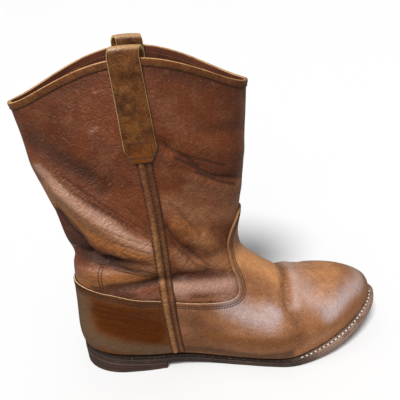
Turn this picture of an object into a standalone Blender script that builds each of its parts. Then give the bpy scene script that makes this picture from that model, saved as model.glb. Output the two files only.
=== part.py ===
"""Pull-on leather boot for the right foot.

Tables are in millimetres, measured from the back of the heel at floor level. X runs from heel to
toe, Y towards the inner side of the foot and Z up. Objects are built in metres, with the middle of
the boot's outline at the origin.
"""
import bmesh
import bpy
import numpy as np

MM = 0.001
CENTRE_X = 137.4
CENTRE_Y = -4.05

# Sole: overall sizes, heights of the underside along the foot
SOLE_LENGTH = 300.0
OUTSOLE = 4.6
WELT = 2.2
INSOLE_STEP = 2.0
ARCH_RISE = 6.6
ARCH_FRONT = 142.0
ARCH_FULL = 82.0
HEEL_PITCH = 9.6
PITCH_FRONT = 88.0
TOE_SPRING = 29.2
SPRING_BACK = 186.0
HEEL_BREAST = 79.0
EDGE_BEVEL = 0.7
TOE_SWING = 6.0
SWING_BACK = 150.0
TOE_ROUND = 110.0
HEEL_ROUND = 42.0

# Leather: wall of the upper, layers laid on it, clearance between cemented pieces
WALL = 2.0
LAYER = 1.8
GAP = 0.35
LAYER_GAP = 0.5
STAND = 0.5
TUCK = 0.3

# Trim: raised side seams, band round the collar, pull straps
SEAM_WIDTH = 13.0
SEAM_RIDGE = 1.0
SEAM_VALLEY = 0.5
BAND_HEIGHT = 7.0
BAND = 0.8
STRAP_WIDTH = 23.0
STRAP_TIP = 12.0
STRAP = 2.2
STRAP_END_Z = 215.0
STRAP_END_X = 77.5
STRAP_TOP_X = 71.5
STRAP_TAPER = 12.0
STRAP_INSIDE_Z = 254.0
LOOP_STRAIGHT = 2.0
LOOP_RISE = 6.0

# Half widths of the sole before its two ends are rounded, outer and inner side of the foot
PLAN_COLUMNS = ("x", "lateral", "medial", "lateral_ledge", "medial_ledge")
PLAN = (
    (0, 34.0, 33.5, 3.0, 3.0),
    (35, 35.0, 33.5, 2.6, 2.8),
    (60, 36.5, 34.0, 2.4, 2.6),
    (100, 36.0, 30.0, 2.0, 2.4),
    (130, 39.5, 28.0, 1.2, 2.2),
    (150, 45.0, 31.5, 0.6, 2.4),
    (175, 52.6, 38.5, 0.5, 2.8),
    (195, 57.4, 43.5, 1.6, 3.4),
    (225, 58.0, 48.5, 5.0, 5.6),
    (260, 55.6, 49.5, 7.6, 7.8),
    (300, 48.0, 42.0, 9.0, 9.0),
)

# Levels of the upper from the sole to the collar: its back and front in the side view, how far it
# follows the sole's bend and the collar's curve, and its half width with the rounding of its ends
LEVEL_COLUMNS = (
    "back_x", "back_z", "front_x", "front_z", "sag", "crown", "foot", "breadth", "half", "nose",
    "tail", "point",
)
LEVELS = {
    "feather": (2.6, 23.0, 289.3, 33.4, 1.00, 0.0, 1.00, 0.97, 40.0, 104, 42, 2.20),
    "toe_wall": (0.6, 33.0, 291.6, 41.5, 0.86, 0.0, 0.96, 1.00, 40.0, 104, 42, 2.20),
    "toe_cap": (0.2, 42.0, 285.0, 54.5, 0.68, 0.0, 0.86, 1.00, 41.0, 112, 44, 2.15),
    "toe_box": (0.6, 51.0, 264.0, 64.8, 0.50, 0.0, 0.72, 0.97, 42.0, 120, 48, 2.10),
    "toe_rear": (1.2, 60.0, 239.0, 66.2, 0.34, 0.0, 0.56, 0.95, 42.0, 112, 52, 2.05),
    "flex": (1.8, 69.0, 212.0, 69.8, 0.20, 0.0, 0.42, 0.97, 41.0, 100, 56, 2.00),
    "vamp": (2.2, 78.0, 189.5, 79.6, 0.10, 0.0, 0.30, 1.00, 40.0, 88, 60, 2.00),
    "instep": (2.5, 88.0, 171.5, 93.0, 0.03, 0.0, 0.20, 1.00, 39.5, 80, 66, 2.00),
    "throat": (2.2, 99.0, 160.0, 105.5, 0.00, 0.0, 0.10, 1.00, 39.0, 74, 70, 1.95),
    "ankle": (3.2, 111.0, 156.0, 118.0, 0.00, 0.0, 0.00, 1.00, 39.0, 72, 76, 1.90),
    "crease": (5.3, 121.0, 155.8, 130.0, 0.00, 0.0, 0.00, 1.00, 39.5, 72, 78, 1.90),
    "overhang": (0.5, 137.0, 158.4, 144.0, 0.00, 0.0, 0.00, 1.00, 40.5, 76, 80, 1.85),
    "shin": (-3.4, 160.0, 161.0, 163.0, 0.00, 1.0, 0.00, 1.00, 41.5, 80, 84, 1.85),
    "calf_low": (-10.0, 185.0, 164.0, 186.0, 0.00, 4.0, 0.00, 1.00, 42.0, 86, 88, 1.80),
    "calf_mid": (-16.4, 210.0, 165.8, 211.0, 0.00, 10.0, 0.00, 1.00, 42.0, 90, 92, 1.80),
    "calf_high": (-20.4, 238.0, 167.6, 239.0, 0.00, 19.0, 0.00, 1.00, 41.0, 93, 95, 1.80),
    "collar": (-24.0, 262.5, 169.0, 265.0, 0.00, 30.5, 0.00, 1.00, 38.5, 95, 98, 1.80),
}
TOP = len(LEVELS) - 1

# Facets of the upper and its layers: levels up the boot, degrees from the front round each side
FACET_LEVELS = (
    0, 0.5, 1, 1.5, 2, 2.5, 3, 3.5, 4, 4.7, 5.5, 6.3, 7, 7.7, 8.1, 8.5, 9.1, 9.8, 10.5, 11.2, 12, 13,
    14, 15, 16,
)
FACET_ANGLES = (
    0, 6, 12, 18, 24, 29.5, 32.5, 39, 47, 54, 61, 69, 78, 87, 96, 105, 114, 124, 134, 143, 151,
    158, 165, 172.5, 180,
)

# Soft folds of the worn leather: a line in the side view, its breadth and its rise or fall
FOLD_COLUMNS = ("x1", "z1", "x2", "z2", "breadth", "rise", "side")
FOLDS = {
    "shaft_ridge": (-2, 215, 62, 130, 15, 4.0, 1),
    "shaft_hollow": (-7, 234, 41, 196, 14, -3.0, 1),
    "ankle_fold": (8, 130, 54, 112, 12, -3.5, 1),
    "ankle_bulge": (20, 106, 54, 97, 11, 2.0, 1),
    "front_hollow": (100, 106, 140, 106, 12, -2.0, 0),
    "inner_fold": (5, 126, 60, 114, 12, -2.5, -1),
    "inner_ridge": (10, 192, 70, 142, 15, 3.0, -1),
    "vamp_flex": (200, 92, 208, 32, 13, -1.6, 0),
}

# Cut edge of counter and vamp in the side view, from the middle of the back to the tongue's top
CUT_COLUMNS = ("x", "z")
CUT_EDGE = (
    (-2, 95.0), (14, 93.6), (28, 91.6), (44.5, 89.0), (61, 84.8), (75, 82.2), (88.2, 79.6),
    (100, 76.6), (118, 73.2), (135, 71.8), (145, 72.8), (151, 78.0), (150, 88.0),
    (146.8, 98.0), (144.4, 113.0), (144.0, 124.0), (146.4, 132.0), (150.2, 139.0), (154.6, 146.0),
    (159.8, 151.5),
)

# Line of the side seam in the side view, and the height at which it meets the cut edge
SEAM_CUT_Z = 80.1
SEAM_COLUMNS = ("x", "z")
SEAM = ((91.1, 16.0), (87.6, 52.0), (85.7, 84.0), (84.3, 127.0), (82.8, 162.0), (78.2, 217.0))


def smooth(knots, values, at):
    """Cubic curve through a row of values."""
    knots = np.asarray(knots, float)
    values = np.asarray(values, float)
    slopes = np.gradient(values, knots)
    at = np.clip(at, knots[0], knots[-1])
    i = np.clip(np.searchsorted(knots, at, side="right") - 1, 0, len(knots) - 2)
    span = knots[i + 1] - knots[i]
    t = (at - knots[i]) / span
    rise = t * t * (3 - 2 * t)
    ease_in = (t**3 - 2 * t**2 + t) * span * slopes[i]
    ease_out = (t**3 - t**2) * span * slopes[i + 1]
    return values[i] * (1 - rise) + values[i + 1] * rise + ease_in + ease_out


def column(rows, columns, name):
    """One named column of a table."""
    place = columns.index(name)
    return np.array([row[place] for row in rows], float)


def ease(t):
    """Soft step from 0 to 1."""
    t = np.clip(t, 0, 1)
    return t * t * (3 - 2 * t)


def sole_line(x):
    """Height of the outsole's underside."""
    arch = ARCH_RISE * ease((ARCH_FRONT - x) / (ARCH_FRONT - ARCH_FULL))
    pitch = HEEL_PITCH * np.clip((PITCH_FRONT - x) / PITCH_FRONT, 0, None) ** 1.2
    spring = TOE_SPRING * np.clip((x - SPRING_BACK) / (SOLE_LENGTH - SPRING_BACK), 0, None) ** 1.7
    return arch + pitch + spring


def feather_line(x):
    """Height at which the upper stands on the welt."""
    return sole_line(x) + OUTSOLE + GAP + WELT + STAND


def swing(x):
    """Sideways curve of the foot's middle line."""
    return TOE_SWING * np.clip((x - SWING_BACK) / (SOLE_LENGTH - SWING_BACK), 0, 1) ** 1.5


def rounded(distance, length, power):
    """Rounding of an end: 0 at the end, 1 from the given length on."""
    t = np.clip(1 - distance / length, 0, 1)
    return np.sqrt(np.clip(1 - t**power, 0, None))


def plan(x, name):
    """Column of the sole's plan at a station."""
    return smooth(column(PLAN, PLAN_COLUMNS, "x"), column(PLAN, PLAN_COLUMNS, name), x)


def outline(theta):
    """Sole outline: theta runs from the toe (0) by the outer side to the heel (pi)."""
    x = SOLE_LENGTH * (1 + np.cos(theta)) / 2
    outer = np.sin(theta) >= 0
    half = np.where(outer, plan(x, "lateral"), plan(x, "medial"))
    half = half * rounded(SOLE_LENGTH - x, TOE_ROUND, 2.2) * rounded(x, HEEL_ROUND, 2.0)
    return x, swing(x) - np.where(outer, half, -half)


def level_value(name, level):
    """Column of the level table at any level."""
    return smooth(np.arange(TOP + 1), column(LEVELS.values(), LEVEL_COLUMNS, name), level)


def side_view(c, level):
    """Side view of the upper: c runs from its back (0) to its front (1)."""
    back = level_value("back_x", level)
    front = level_value("front_x", level)
    x = back + c * (front - back)
    z = level_value("back_z", level) * (1 - c) + level_value("front_z", level) * c
    first = LEVELS["feather"]
    foot_x = first[0] + c * (first[2] - first[0])
    bend = feather_line(foot_x) - (first[1] * (1 - c) + first[3] * c)
    z = z + level_value("sag", level) * bend
    return x, z + level_value("crown", level) * (4 * c * (1 - c)) ** 1.5


def fold_rise(x, z, outer):
    """Rise of the surface over all folds."""
    total = np.zeros_like(x)
    for x1, z1, x2, z2, breadth, rise, side in FOLDS.values():
        length = np.hypot(x2 - x1, z2 - z1)
        along = ((x - x1) * (x2 - x1) + (z - z1) * (z2 - z1)) / length
        across = ((x - x1) * (z2 - z1) - (z - z1) * (x2 - x1)) / length
        over = np.clip(np.abs(along - length / 2) - length / 2, 0, None)
        here = rise * np.exp(-(across**2 + over**2) / breadth**2)
        total = total + np.where((side == 0) | (np.sign(side) == outer), here, 0)
    return total


def bare(theta, level):
    """Upper's outer face without its folds."""
    c = (1 + np.cos(theta)) / 2
    x, z = side_view(c, level)
    outer = np.sin(theta) >= 0
    lateral = plan(x, "lateral") - plan(x, "lateral_ledge")
    medial = plan(x, "medial") - plan(x, "medial_ledge")
    wide = np.where(outer, lateral, medial)
    share = level_value("foot", level)
    half = share * wide + (1 - share) * level_value("half", level)
    power = level_value("point", level)
    nose = rounded(level_value("front_x", level) - x, level_value("nose", level), power)
    tail = rounded(x - level_value("back_x", level), level_value("tail", level), power)
    half = half * level_value("breadth", level) * nose * tail
    return np.stack([x, swing(x) - np.where(outer, half, -half), z], -1)


def normals(theta, level):
    """Outward direction of the upper's face."""
    step = 0.02
    around = bare(theta + step, level) - bare(theta - step, level)
    up = bare(theta, np.minimum(level + step, TOP)) - bare(theta, np.maximum(level - step, 0))
    out = np.cross(up, around)
    return out / np.linalg.norm(out, axis=-1, keepdims=True)


def upper_face(theta, level, out=0.0):
    """Upper's outer face with its folds, moved outwards by a distance."""
    theta, level, out = np.broadcast_arrays(theta, level, out)
    points = bare(theta, level)
    side = np.sin(theta)
    fade = np.clip(np.abs(side) / 0.35, 0, 1)
    rise = fold_rise(points[..., 0], points[..., 2], np.where(side >= 0, 1, -1)) * ease(fade)
    return points + normals(theta, level) * (out + rise)[..., None]


def find(x, z):
    """Angle and level of the outer side's point at a place in the side view."""
    levels = np.linspace(0, TOP, 801)
    back = level_value("back_x", levels)
    front = level_value("front_x", levels)
    found = []
    for px, pz in zip(np.atleast_1d(x), np.atleast_1d(z)):
        c = np.clip((px - back) / (front - back), 0, 1)
        heights = side_view(c, levels)[1]
        level = np.interp(pz, np.maximum.accumulate(heights), levels)
        found.append((np.arccos(2 * np.interp(level, levels, c) - 1), level))
    return np.array(found).T


def cut_level(theta):
    """Level of the cut edge at an angle."""
    rows = np.asarray(CUT_EDGE, float)
    length = np.concatenate([[0], np.cumsum(np.hypot(*np.diff(rows, axis=0).T))])
    at = np.linspace(0, length[-1], 240)
    angle, level = find(smooth(length, rows[:, 0], at), smooth(length, rows[:, 1], at))
    order = np.argsort(angle)
    return np.interp(theta, angle[order], level[order])


def seam_angle(level, shift):
    """Angle of the side seam at a level."""
    heights = np.linspace(SEAM[0][1], SEAM_CUT_Z, 40)
    x = smooth(column(SEAM, SEAM_COLUMNS, "z"), column(SEAM, SEAM_COLUMNS, "x"), heights)
    angle, at = find(x + shift, heights)
    return np.interp(level, at, angle)


def leather(name, colour, roughness):
    material = bpy.data.materials.new(name)
    material.use_nodes = True
    shader = material.node_tree.nodes["Principled BSDF"]
    shader.inputs["Base Color"].default_value = (*colour, 1)
    shader.inputs["Roughness"].default_value = roughness
    return material


def add_grid(bm, points):
    """Sheet of quads through rows of points."""
    rows, columns = points.shape[:2]
    grid = bmesh.ops.create_grid(bm, x_segments=columns - 1, y_segments=rows - 1, size=1)
    shift = np.array([CENTRE_X, CENTRE_Y, 0])
    for vertex, point in zip(grid["verts"], (points.reshape(-1, 3) - shift) * MM):
        vertex.co = point


def finish(bm, name, material, solid=True):
    """Object from a mesh whose coincident points are joined."""
    bmesh.ops.remove_doubles(bm, verts=bm.verts, dist=0.00001)
    bmesh.ops.triangulate(bm, faces=bm.faces, quad_method="FIXED")
    if solid:
        bmesh.ops.recalc_face_normals(bm, faces=bm.faces)
    mesh = bpy.data.meshes.new(name)
    bm.to_mesh(mesh)
    bm.free()
    mesh.materials.append(material)
    piece = bpy.data.objects.new(name, mesh)
    parts.objects.link(piece)
    return piece


def sheet(name, points, material, thickness, offset):
    """Shell of even thickness on a sheet of points."""
    bm = bmesh.new()
    add_grid(bm, points)
    piece = finish(bm, name, material, solid=False)
    shell = piece.modifiers.new("wall", "SOLIDIFY")
    shell.thickness = thickness * MM
    shell.offset = offset
    shell.use_even_offset = True
    return piece


def strip(name, sections, material, ring=False):
    """Solid through a row of closed sections."""
    sections = np.concatenate([sections, sections[:, :1]], axis=1)
    bm = bmesh.new()
    if ring:
        add_grid(bm, np.concatenate([sections, sections[:1]]))
    else:
        add_grid(bm, sections)
        half = (sections.shape[1] - 1) // 2
        for section in (sections[0], sections[-1]):
            add_grid(bm, np.stack([section[:half], section[half:2 * half][::-1]]))
    return finish(bm, name, material)


def plate(name, loops, material):
    """Solid between stacked loops whose two halves face each other across the foot."""
    loops = np.stack(loops)
    bm = bmesh.new()
    add_grid(bm, np.concatenate([loops, loops[:, :1]], axis=1))
    half = loops.shape[1] // 2
    for loop in (loops[0], loops[-1]):
        add_grid(bm, np.stack([loop[:half], loop[half:][::-1]]))
    return finish(bm, name, material)


def inset_edge(edge, theta, inset):
    """Plan of an edge moved inwards by a distance."""
    x, y = edge(theta)
    ahead = np.array(edge(theta + 0.01))
    behind = np.array(edge(theta - 0.01))
    dx, dy = (ahead - behind) / np.hypot(*(ahead - behind))
    return x + dy * inset, y - dx * inset


def feather_edge(theta):
    """Plan of the upper's lower edge."""
    points = bare(theta, np.zeros_like(theta))
    return points[..., 0], points[..., 1]


def sole_loop(edge, theta, inset, above):
    """Loop at a height over the outsole's underside."""
    x, y = inset_edge(edge, theta, inset)
    return np.stack([x, y, sole_line(x) + above], -1)


def around(count):
    """Angles round the whole sole, none of them on its middle line."""
    return (np.arange(count) + 0.5) * 2 * np.pi / count


def breast_angle(x):
    """Angle of the outline at a station."""
    return np.arccos(2 * x / SOLE_LENGTH - 1)


def build_sole():
    theta = around(84)
    plate("outsole", [
        sole_loop(outline, theta, EDGE_BEVEL, 0),
        sole_loop(outline, theta, 0, EDGE_BEVEL),
        sole_loop(outline, theta, 0, OUTSOLE - EDGE_BEVEL / 2),
        sole_loop(outline, theta, EDGE_BEVEL / 2, OUTSOLE),
    ], sole_rubber)

    breast = breast_angle(HEEL_BREAST)
    theta = np.linspace(breast, 2 * np.pi - breast, 30)
    loops = []
    for inset, share in ((EDGE_BEVEL + 0.6, 0.0), (0.6, 0.08), (0.2, 0.55), (0.0, 1.0)):
        x, y = inset_edge(outline, theta, inset)
        height = share * (sole_line(x) - GAP)
        loops.append(np.stack([x, y, height], -1))
    plate("heel", loops, heel_rubber)

    for name, angles, material in (
        ("welt", np.linspace(-breast_angle(HEEL_BREAST + GAP), breast_angle(HEEL_BREAST + GAP), 56),
         welt_leather),
        ("heel_rand", np.linspace(breast, 2 * np.pi - breast, 25), welt_leather),
    ):
        low = OUTSOLE + GAP
        strip(name, np.stack([
            sole_loop(outline, angles, 0.4, low),
            sole_loop(outline, angles, 0.4, low + WELT),
            sole_loop(feather_edge, angles, WALL, low + WELT),
            sole_loop(feather_edge, angles, WALL, low),
        ], axis=1), material)

    theta = around(60)
    top = OUTSOLE + GAP + WELT + GAP + INSOLE_STEP
    plate("insole", [
        sole_loop(feather_edge, theta, WALL + 2 * GAP, OUTSOLE + GAP),
        sole_loop(feather_edge, theta, WALL + 2 * GAP, top - EDGE_BEVEL),
        sole_loop(feather_edge, theta, WALL + 2 * GAP + EDGE_BEVEL, top),
    ], insole_leather)


def facet_angles():
    """Angles of the facets round the whole boot."""
    half = np.radians(FACET_ANGLES)
    return np.concatenate([half, 2 * np.pi - half[-2::-1]])[::-1]


def build_upper():
    levels = np.array(FACET_LEVELS)
    points = upper_face(facet_angles()[None, :], levels[:, None])
    sheet("upper", points, shaft_leather, WALL, -1)


def layer(turn, levels, low, high):
    """Facets of a layer between the upper's lower edge, the cut edge and the side seams."""
    levels = np.array(levels)
    levels[0] = TUCK
    turn, level = np.meshgrid(turn, levels)
    for again in range(4):
        theta = np.where(turn > high(level) - 0.03, high(level), turn)
        theta = np.where(theta < low(level) + 0.03, low(level), theta)
        cut = cut_level(np.pi - np.abs(np.pi - np.abs(theta)))
        level = np.where(levels[:, None] > cut - 0.15, cut, levels[:, None])
    return upper_face(theta, level, LAYER_GAP)


def build_layers():
    half = np.radians(FACET_ANGLES)
    side = GAP / 2
    front = half[half < 2.2]
    points = layer(
        np.concatenate([front[::-1], -front[1:]]), FACET_LEVELS[:21],
        lambda level: -seam_angle(level, side), lambda level: seam_angle(level, side))
    sheet("vamp", points, vamp_leather, LAYER, 1)
    back = half[half > 1.4]
    points = layer(
        np.concatenate([back, 2 * np.pi - back[-2::-1]])[::-1], FACET_LEVELS[:15],
        lambda level: seam_angle(level, -side), lambda level: 2 * np.pi - seam_angle(level, -side))
    sheet("counter", points, counter_leather, LAYER, 1)


def seam_strip(name, heights, lift, outer, material):
    """Raised strip with two ridges down a side seam."""
    x = smooth(column(SEAM, SEAM_COLUMNS, "z"), column(SEAM, SEAM_COLUMNS, "x"), heights)
    across = np.array([-0.5, -0.28, 0.0, 0.28, 0.5]) * SEAM_WIDTH
    rise = np.array([0.3, SEAM_RIDGE, SEAM_VALLEY, SEAM_RIDGE, 0.3])
    sections = []
    for px, pz in zip(x, heights):
        theta, level = find(px + across, np.full(5, pz))
        theta = theta if outer else -theta
        top = upper_face(theta, level, lift + rise)
        low = upper_face(theta, level, lift)
        sections.append(np.concatenate([top, low[::-1]]))
    strip(name, np.stack(sections), material)


def build_seams():
    foot = np.linspace(19.5, 75.0, 9)
    shaft = np.linspace(85.0, STRAP_END_Z - 1.5, 17)
    for side, outer in (("lateral", True), ("medial", False)):
        seam_strip(f"shaft_seam_{side}", shaft, GAP, outer, shaft_leather)
        seam_strip(f"foot_seam_{side}", foot, LAYER_GAP + LAYER + GAP, outer, counter_leather)


def build_band():
    theta = np.linspace(0, 2 * np.pi, 49)[:-1]
    top = np.full_like(theta, TOP)
    below = upper_face(theta, top - 0.1)
    slope = np.linalg.norm(upper_face(theta, top) - below, axis=-1) / 0.1
    low = top - BAND_HEIGHT / slope
    strip("collar_band", np.stack([
        upper_face(theta, low, GAP),
        upper_face(theta, low, GAP + BAND),
        upper_face(theta, top, GAP + BAND),
        upper_face(theta, top, GAP),
    ], axis=1), band_leather, ring=True)


def strap_path(rim_z):
    """Stations along the strap: height, distance out, rise over the rim, share of the width."""
    seat = GAP + STRAP / 2
    over = GAP + BAND + GAP + STRAP / 2
    within = -(WALL + GAP + STRAP / 2)
    stations = []
    for z, share in ((STRAP_END_Z, STRAP_TIP / STRAP_WIDTH), (STRAP_END_Z + STRAP_TAPER, 1.0)):
        stations.append((z, seat, 0.0, share))
    for z in np.linspace(STRAP_END_Z + 2 * STRAP_TAPER, rim_z - 16, 4):
        stations.append((z, seat, 0.0, 1.0))
    for z in (rim_z - BAND_HEIGHT - 1, rim_z):
        stations.append((z, over, 0.0, 1.0))
    middle = (over + within) / 2
    reach = (over - within) / 2
    for turn in np.linspace(0, np.pi, 9):
        rise = LOOP_STRAIGHT + LOOP_RISE * np.sin(turn)
        stations.append((rim_z, middle + reach * np.cos(turn), rise, 1.0))
    for z in np.linspace(rim_z, STRAP_INSIDE_Z, 4):
        stations.append((z, within, 0.0, 1.0))
    return stations


def build_straps():
    rim_theta, rim_level = find(STRAP_TOP_X, 400.0)
    rim_z = upper_face(rim_theta, rim_level)[0, 2]
    stations = strap_path(rim_z)
    across = np.array([-0.5, 0.0, 0.5]) * STRAP_WIDTH
    for side, sign in (("lateral", 1), ("medial", -1)):
        lines = []
        for z, out, rise, share in stations:
            lean = (rim_z - z) / (rim_z - STRAP_END_Z)
            x = STRAP_TOP_X + lean * (STRAP_END_X - STRAP_TOP_X) + across * share
            theta, level = find(x, np.full(3, z))
            line = upper_face(sign * theta, level, out)
            line[:, 2] += rise
            lines.append(line)
        lines = np.stack(lines)
        path = np.gradient(lines, axis=0)
        width = np.gradient(lines, axis=1)
        out = np.cross(path, width)
        out = out / np.linalg.norm(out, axis=-1, keepdims=True) * STRAP / 2
        sections = np.concatenate([lines + out, (lines - out)[:, ::-1]], axis=1)
        strip(f"pull_strap_{side}", sections, strap_leather)


for old in list(bpy.data.objects):
    bpy.data.objects.remove(old, do_unlink=True)
parts = bpy.data.collections.new("pull_on_boot")
bpy.context.scene.collection.children.link(parts)

shaft_leather = leather("shaft_leather", (0.17, 0.065, 0.032), 0.55)
vamp_leather = leather("vamp_leather", (0.30, 0.13, 0.05), 0.45)
counter_leather = leather("counter_leather", (0.28, 0.11, 0.042), 0.5)
band_leather = leather("band_leather", (0.20, 0.09, 0.035), 0.55)
strap_leather = leather("strap_leather", (0.19, 0.085, 0.022), 0.5)
welt_leather = leather("welt_leather", (0.16, 0.08, 0.045), 0.65)
insole_leather = leather("insole_leather", (0.33, 0.2, 0.11), 0.7)
sole_rubber = leather("sole_rubber", (0.075, 0.05, 0.04), 0.75)
heel_rubber = leather("heel_rubber", (0.065, 0.045, 0.037), 0.75)

build_sole()
build_upper()
build_layers()
build_seams()
build_band()
build_straps()
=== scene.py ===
import math

import bmesh
import bpy
import numpy as np
from mathutils import Matrix, Vector


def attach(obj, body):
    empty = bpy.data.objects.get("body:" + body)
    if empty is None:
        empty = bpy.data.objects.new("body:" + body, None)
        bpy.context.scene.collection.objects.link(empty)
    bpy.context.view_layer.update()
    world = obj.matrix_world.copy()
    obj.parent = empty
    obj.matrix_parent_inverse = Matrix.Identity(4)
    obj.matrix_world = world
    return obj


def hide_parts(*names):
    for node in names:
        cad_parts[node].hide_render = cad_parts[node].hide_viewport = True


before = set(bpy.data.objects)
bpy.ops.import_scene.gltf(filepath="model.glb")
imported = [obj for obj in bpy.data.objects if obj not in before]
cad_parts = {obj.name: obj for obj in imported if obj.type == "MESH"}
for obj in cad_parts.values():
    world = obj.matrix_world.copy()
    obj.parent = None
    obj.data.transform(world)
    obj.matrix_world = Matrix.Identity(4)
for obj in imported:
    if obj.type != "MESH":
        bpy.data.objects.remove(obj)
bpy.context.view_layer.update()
print("frame loaded:", len(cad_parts), "nodes")

mm = 0.001
turn = 2 * np.pi

# sizes in mm from the back of the heel at floor level: x to the toe, y to the inner side, z up
sole = {
    "centreX": 137.4, "centreY": -4.05, "length": 300.0, "outsole": 4.6, "welt": 2.2,
    "insoleStep": 2.0, "archRise": 6.6, "archFront": 142.0, "archFull": 82.0,
    "heelPitch": 9.6, "pitchFront": 88.0, "pitchPower": 1.2, "heelBreast": 79.0,
    "toeSpring": 29.2, "springBack": 186.0, "springPower": 1.7,
    "toeSwing": 6.0, "swingBack": 150.0, "swingPower": 1.5,
    "toeRound": 110.0, "toePower": 2.2, "heelRound": 42.0, "heelPower": 2.0,
    "gap": 0.35, "stand": 0.5,
}
leather = {"wall": 2.0, "layer": 1.8, "layerGap": 0.5, "tuck": 0.3, "crownPower": 1.5}
shift = np.array([sole["centreX"], sole["centreY"], 0.0])  # the part's middle in these sizes

planColumns = ("x", "lateral", "medial", "lateralLedge", "medialLedge")
planRows = (
    (0, 34.0, 33.5, 3.0, 3.0),
    (35, 35.0, 33.5, 2.6, 2.8),
    (60, 36.5, 34.0, 2.4, 2.6),
    (100, 36.0, 30.0, 2.0, 2.4),
    (130, 39.5, 28.0, 1.2, 2.2),
    (150, 45.0, 31.5, 0.6, 2.4),
    (175, 52.6, 38.5, 0.5, 2.8),
    (195, 57.4, 43.5, 1.6, 3.4),
    (225, 58.0, 48.5, 5.0, 5.6),
    (260, 55.6, 49.5, 7.6, 7.8),
    (300, 48.0, 42.0, 9.0, 9.0),
)

# levels of the upper from the sole to the collar
levelColumns = (
    "backX", "backZ", "frontX", "frontZ", "sag", "crown", "foot", "breadth", "half", "nose",
    "tail", "point",
)
levelRows = {
    "feather": (2.6, 23.0, 289.3, 33.4, 1.00, 0.0, 1.00, 0.97, 40.0, 104, 42, 2.20),
    "toeWall": (0.6, 33.0, 291.6, 41.5, 0.86, 0.0, 0.96, 1.00, 40.0, 104, 42, 2.20),
    "toeCap": (0.2, 42.0, 285.0, 54.5, 0.68, 0.0, 0.86, 1.00, 41.0, 112, 44, 2.15),
    "toeBox": (0.6, 51.0, 264.0, 64.8, 0.50, 0.0, 0.72, 0.97, 42.0, 120, 48, 2.10),
    "toeRear": (1.2, 60.0, 239.0, 66.2, 0.34, 0.0, 0.56, 0.95, 42.0, 112, 52, 2.05),
    "flex": (1.8, 69.0, 212.0, 69.8, 0.20, 0.0, 0.42, 0.97, 41.0, 100, 56, 2.00),
    "vamp": (2.2, 78.0, 189.5, 79.6, 0.10, 0.0, 0.30, 1.00, 40.0, 88, 60, 2.00),
    "instep": (2.5, 88.0, 171.5, 93.0, 0.03, 0.0, 0.20, 1.00, 39.5, 80, 66, 2.00),
    "throat": (2.2, 99.0, 160.0, 105.5, 0.00, 0.0, 0.10, 1.00, 39.0, 74, 70, 1.95),
    "ankle": (3.2, 111.0, 156.0, 118.0, 0.00, 0.0, 0.00, 1.00, 39.0, 72, 76, 1.90),
    "crease": (5.3, 121.0, 155.8, 130.0, 0.00, 0.0, 0.00, 1.00, 39.5, 72, 78, 1.90),
    "overhang": (0.5, 137.0, 158.4, 144.0, 0.00, 0.0, 0.00, 1.00, 40.5, 76, 80, 1.85),
    "shin": (-3.4, 160.0, 161.0, 163.0, 0.00, 1.0, 0.00, 1.00, 41.5, 80, 84, 1.85),
    "calfLow": (-10.0, 185.0, 164.0, 186.0, 0.00, 4.0, 0.00, 1.00, 42.0, 86, 88, 1.80),
    "calfMid": (-16.4, 210.0, 165.8, 211.0, 0.00, 10.0, 0.00, 1.00, 42.0, 90, 92, 1.80),
    "calfHigh": (-20.4, 238.0, 167.6, 239.0, 0.00, 19.0, 0.00, 1.00, 41.0, 93, 95, 1.80),
    "collar": (-24.0, 262.5, 169.0, 265.0, 0.00, 30.5, 0.00, 1.00, 38.5, 95, 98, 1.80),
}
top = len(levelRows) - 1

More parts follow.
